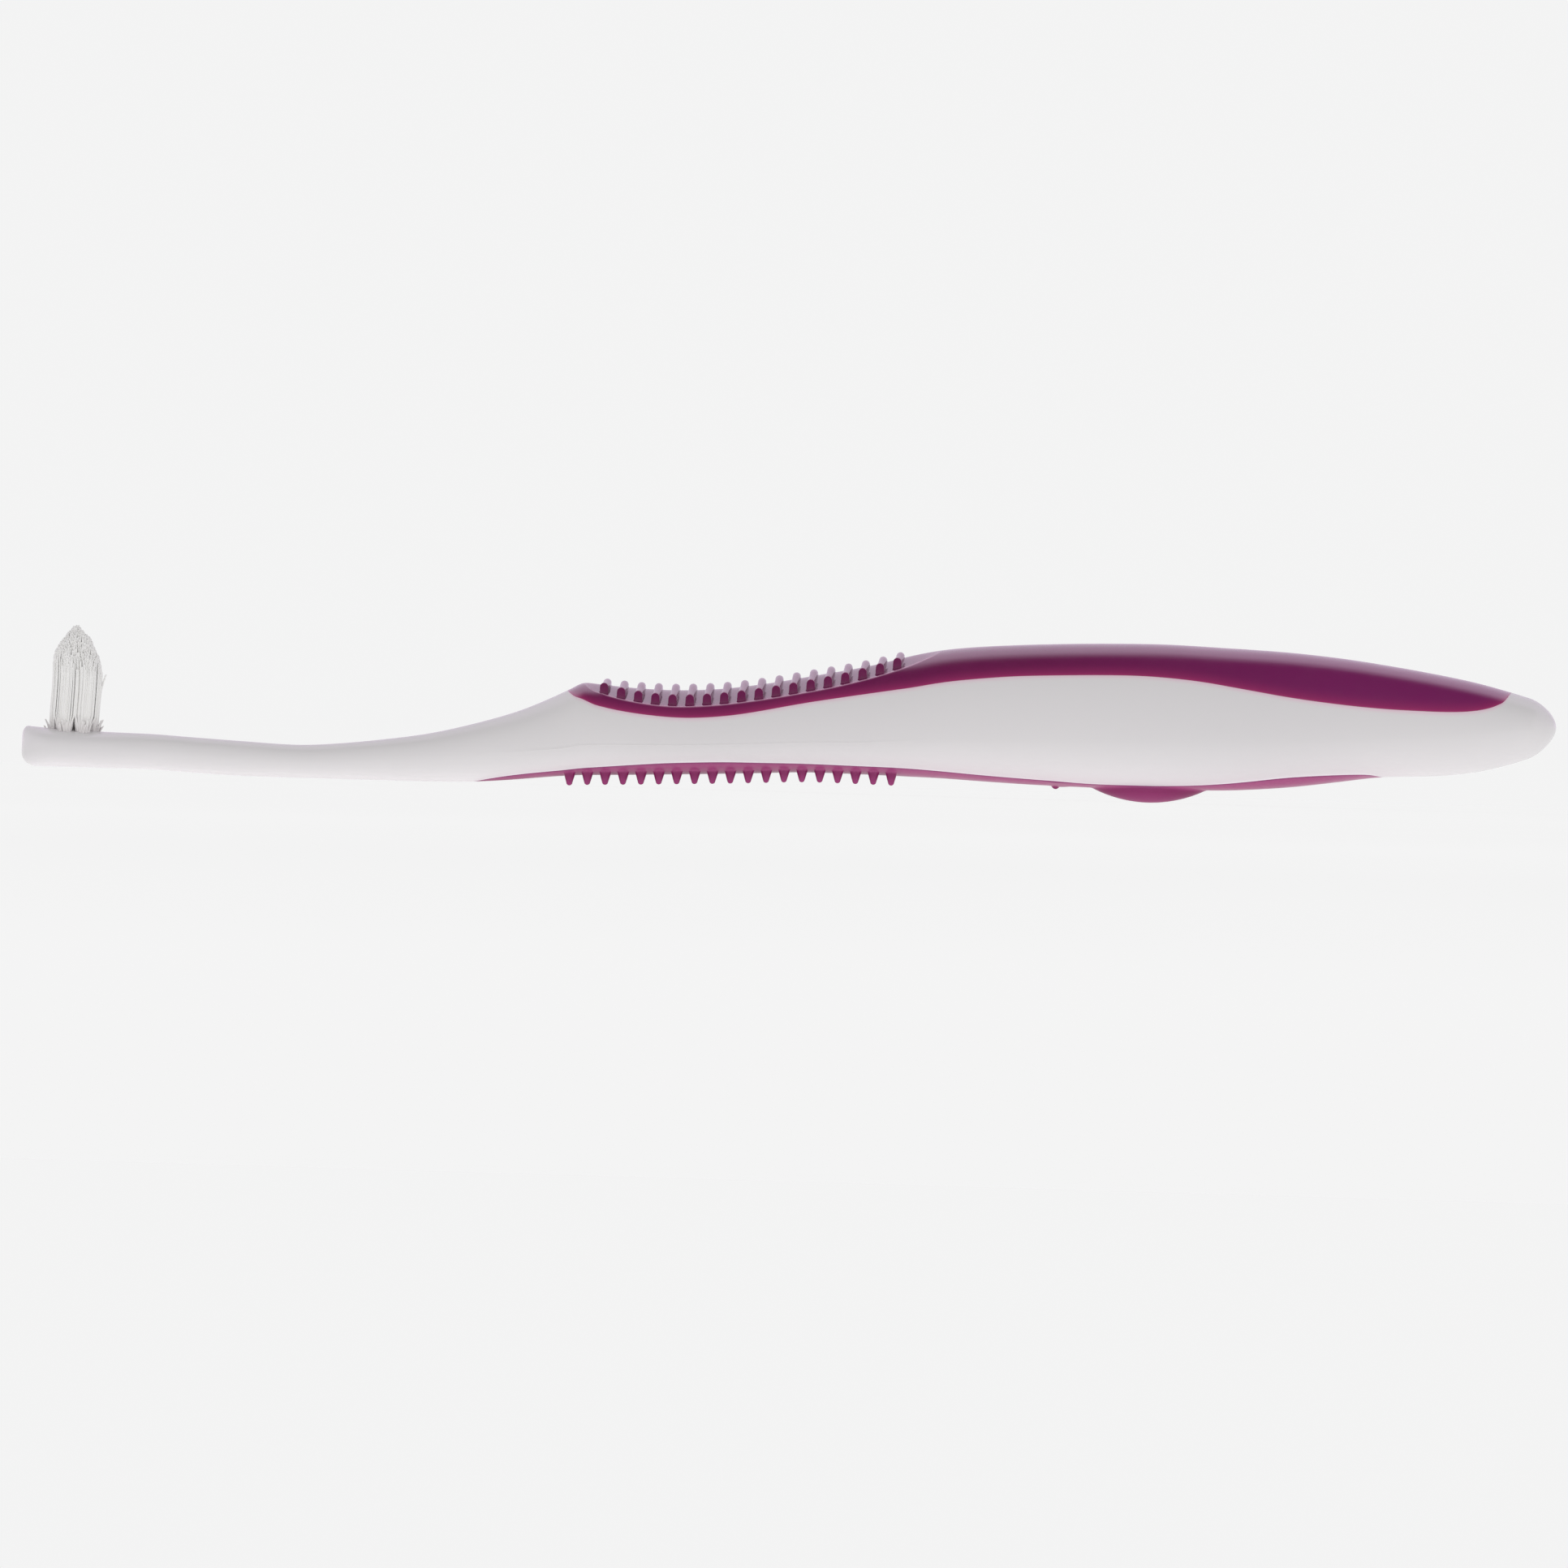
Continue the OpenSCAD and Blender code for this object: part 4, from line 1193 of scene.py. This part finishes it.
def anchor_metal():
    """Drawn nickel-silver sheet."""
    s = new_material("anchor_metal")
    brushed = s.noise(1.0, 2, s.stretched(600, 9000, 9000))
    return s.surface({
        "Base Color": s.mix(brushed, srgb(198, 196, 188), srgb(176, 174, 168)), "Metallic": 1.0,
        "Roughness": s.map(brushed, *COMMON, 0.22, 0.4), "Normal": s.bump(brushed, 0.1, 0.02)})


# The floor, the world and the camera

# Half the floor's width in metres, and the two greys that it varies between
floor_half = 30.0
FLOOR_COLOURS = [(0.86, 0.86, 0.86, 1), (0.83, 0.83, 0.83, 1)]
# White that the camera sees, what the lights alone make of the floor, the floor's glow for the
# object, and how far from the object its soft shadow reaches in metres
CAMERA_WHITE = 0.9
FLOOR_LIT = 0.419
FLOOR_GLOW = 0.48
SHADOW_REACH = 0.03
# Soft light from before and from behind the brush, and the share of it that is left straight above
FRONT_LIGHT = 0.96
BACK_LIGHT = 0.5
TOP_LIGHT_SHARE = 0.52
# Brightness of what the gloss reflects: the backdrop at and above the horizon, what the ceiling adds,
# and the studio before the brush in the middle and at its sides
HORIZON_GLOSS = 1.1
WALL_GLOSS = 0.85
CEILING_GLOSS = 0.95
FRONT_GLOSS = 0.1
SIDE_GLOSS = 0.8
GLOSS_COLOUR = (1.0, 0.87, 1.05, 1.0)
# Where one part of the world fades into the next, as parts of the unit direction: Y points away
# from the camera, X to the tail's side and Z up
LIGHT_FADE_Y = (-0.4, 0.4)
HORIZON_FADE_Z = (0.03, 0.12)
SIDE_FADE_X = (0.45, 0.7)
BACKDROP_FADE_Y = (-0.02, 0.3)

# The photograph's width in pixels, millimetres a pixel, its tilt, and the place at its middle
photo_pixels = 1932
photo_scale = 0.09
photo_tilt = math.atan(0.0295)
photo_middle = (-0.40, 0.88)
# The camera's distance and clipping in metres, and its sensor in millimetres
camera_distance = 5.0
camera_clip = (0.1, 60)
sensor_w = 36.0


def make_floor():
    """Pale floor with the brush's soft shadow. It glows for the brush as the rest of the studio does."""
    corners = [(x * floor_half, y * floor_half, 0) for x, y in ((-1, -1), (1, -1), (1, 1), (-1, 1))]
    mesh = bpy.data.meshes.new("floor")
    mesh.from_pydata(corners, [], [(0, 1, 2, 3)])
    floor = bpy.data.objects.new("floor", mesh)
    bpy.context.scene.collection.objects.link(floor)
    s = new_material("pale_floor")
    colour = s.mix(s.map(s.noise(3, 2), *COMMON, 0, 1), *FLOOR_COLOURS)
    matte = s.add("ShaderNodeBsdfDiffuse", {"Color": colour})
    open_share = s.add("ShaderNodeAmbientOcclusion", {"Distance": SHADOW_REACH}, samples=8).outputs["AO"]
    seen = s.map(open_share, 0, 1, 0, CAMERA_WHITE - FLOOR_LIT)
    by_camera = s.add("ShaderNodeLightPath").outputs["Is Camera Ray"]
    strength = s.map(by_camera, 0, 1, FLOOR_GLOW, seen)
    glow = s.add("ShaderNodeEmission", {"Color": (1, 1, 1, 1), "Strength": strength})
    both = s.add("ShaderNodeAddShader", {0: matte.outputs[0], 1: glow.outputs[0]})
    mesh.materials.append(s.finish(both.outputs[0]))


def make_world():
    """White for the camera, with soft light from all round and a bright backdrop in reflections."""
    world = bpy.data.worlds.new("studio")
    bpy.context.scene.world = world
    s = Nodes(world)
    way = s.add("ShaderNodeSeparateXYZ", {0: s.add("ShaderNodeTexCoord").outputs["Generated"]}).outputs
    path = s.add("ShaderNodeLightPath").outputs
    soft = s.math("MULTIPLY", s.map(way["Y"], *LIGHT_FADE_Y, FRONT_LIGHT, BACK_LIGHT),
                  s.map(way["Z"], 0, 1, 1, TOP_LIGHT_SHARE))
    wall = s.map(way["Z"], *HORIZON_FADE_Z, HORIZON_GLOSS, WALL_GLOSS)
    ceiling = s.math("MULTIPLY", s.math("POWER", way["Z"], 2.0), CEILING_GLOSS)
    front = s.map(s.math("ABSOLUTE", way["X"], 0.0), *SIDE_FADE_X, FRONT_GLOSS, SIDE_GLOSS)
    gloss = s.choose(s.map(way["Y"], *BACKDROP_FADE_Y, 0, 1), front, s.math("ADD", wall, ceiling))
    light = s.choose(path["Is Glossy Ray"], soft, gloss)
    seen = s.math("MAXIMUM", path["Is Camera Ray"], path["Is Transmission Ray"])
    light = s.choose(seen, light, CAMERA_WHITE)
    colour = s.mix(path["Is Glossy Ray"], (1, 1, 1, 1), GLOSS_COLOUR)
    back = s.add("ShaderNodeBackground", {"Color": colour, "Strength": light})
    s.add("ShaderNodeOutputWorld", {"Surface": back.outputs[0]})


def make_camera():
    """Exact side view along +Y, rolled as the brush lies in the photograph."""
    data = bpy.data.cameras.new("camera")
    data.sensor_width = sensor_w
    data.lens = sensor_w * camera_distance / (photo_pixels * photo_scale * MM)
    data.clip_start, data.clip_end = camera_clip
    camera = bpy.data.objects.new("camera", data)
    right = Vector((math.cos(photo_tilt), 0, math.sin(photo_tilt)))
    up = Vector((-math.sin(photo_tilt), 0, math.cos(photo_tilt)))
    back = Vector((0, -1, 0))
    place = Vector((photo_middle[0] * MM, 0, photo_middle[1] * MM)) + back * camera_distance
    camera.matrix_world = Matrix.Translation(place) @ Matrix((right, up, back)).transposed().to_4x4()
    bpy.context.scene.collection.objects.link(camera)
    bpy.context.scene.camera = camera


make_camera()
make_world()
make_floor()
dress(make_core(), "handle_core", white_plastic())
dress(make_upper_grip(), "upper_grip", upper_rubber())
dress(make_lower_grip(), "lower_grip", lower_rubber())
nylon = bristle_nylon()
dice = random.Random(7)
for i in range(ring_tufts + 1):
    dress(make_tuft(i, dice), "tuft_%d" % (i + 1), nylon)
metal = anchor_metal()
for i in range(ring_tufts + 1):
    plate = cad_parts["anchor_%d" % (i + 1)]
    plate.data.materials.clear()
    plate.data.materials.append(metal)

bpy.context.scene.view_settings.view_transform = "Standard"
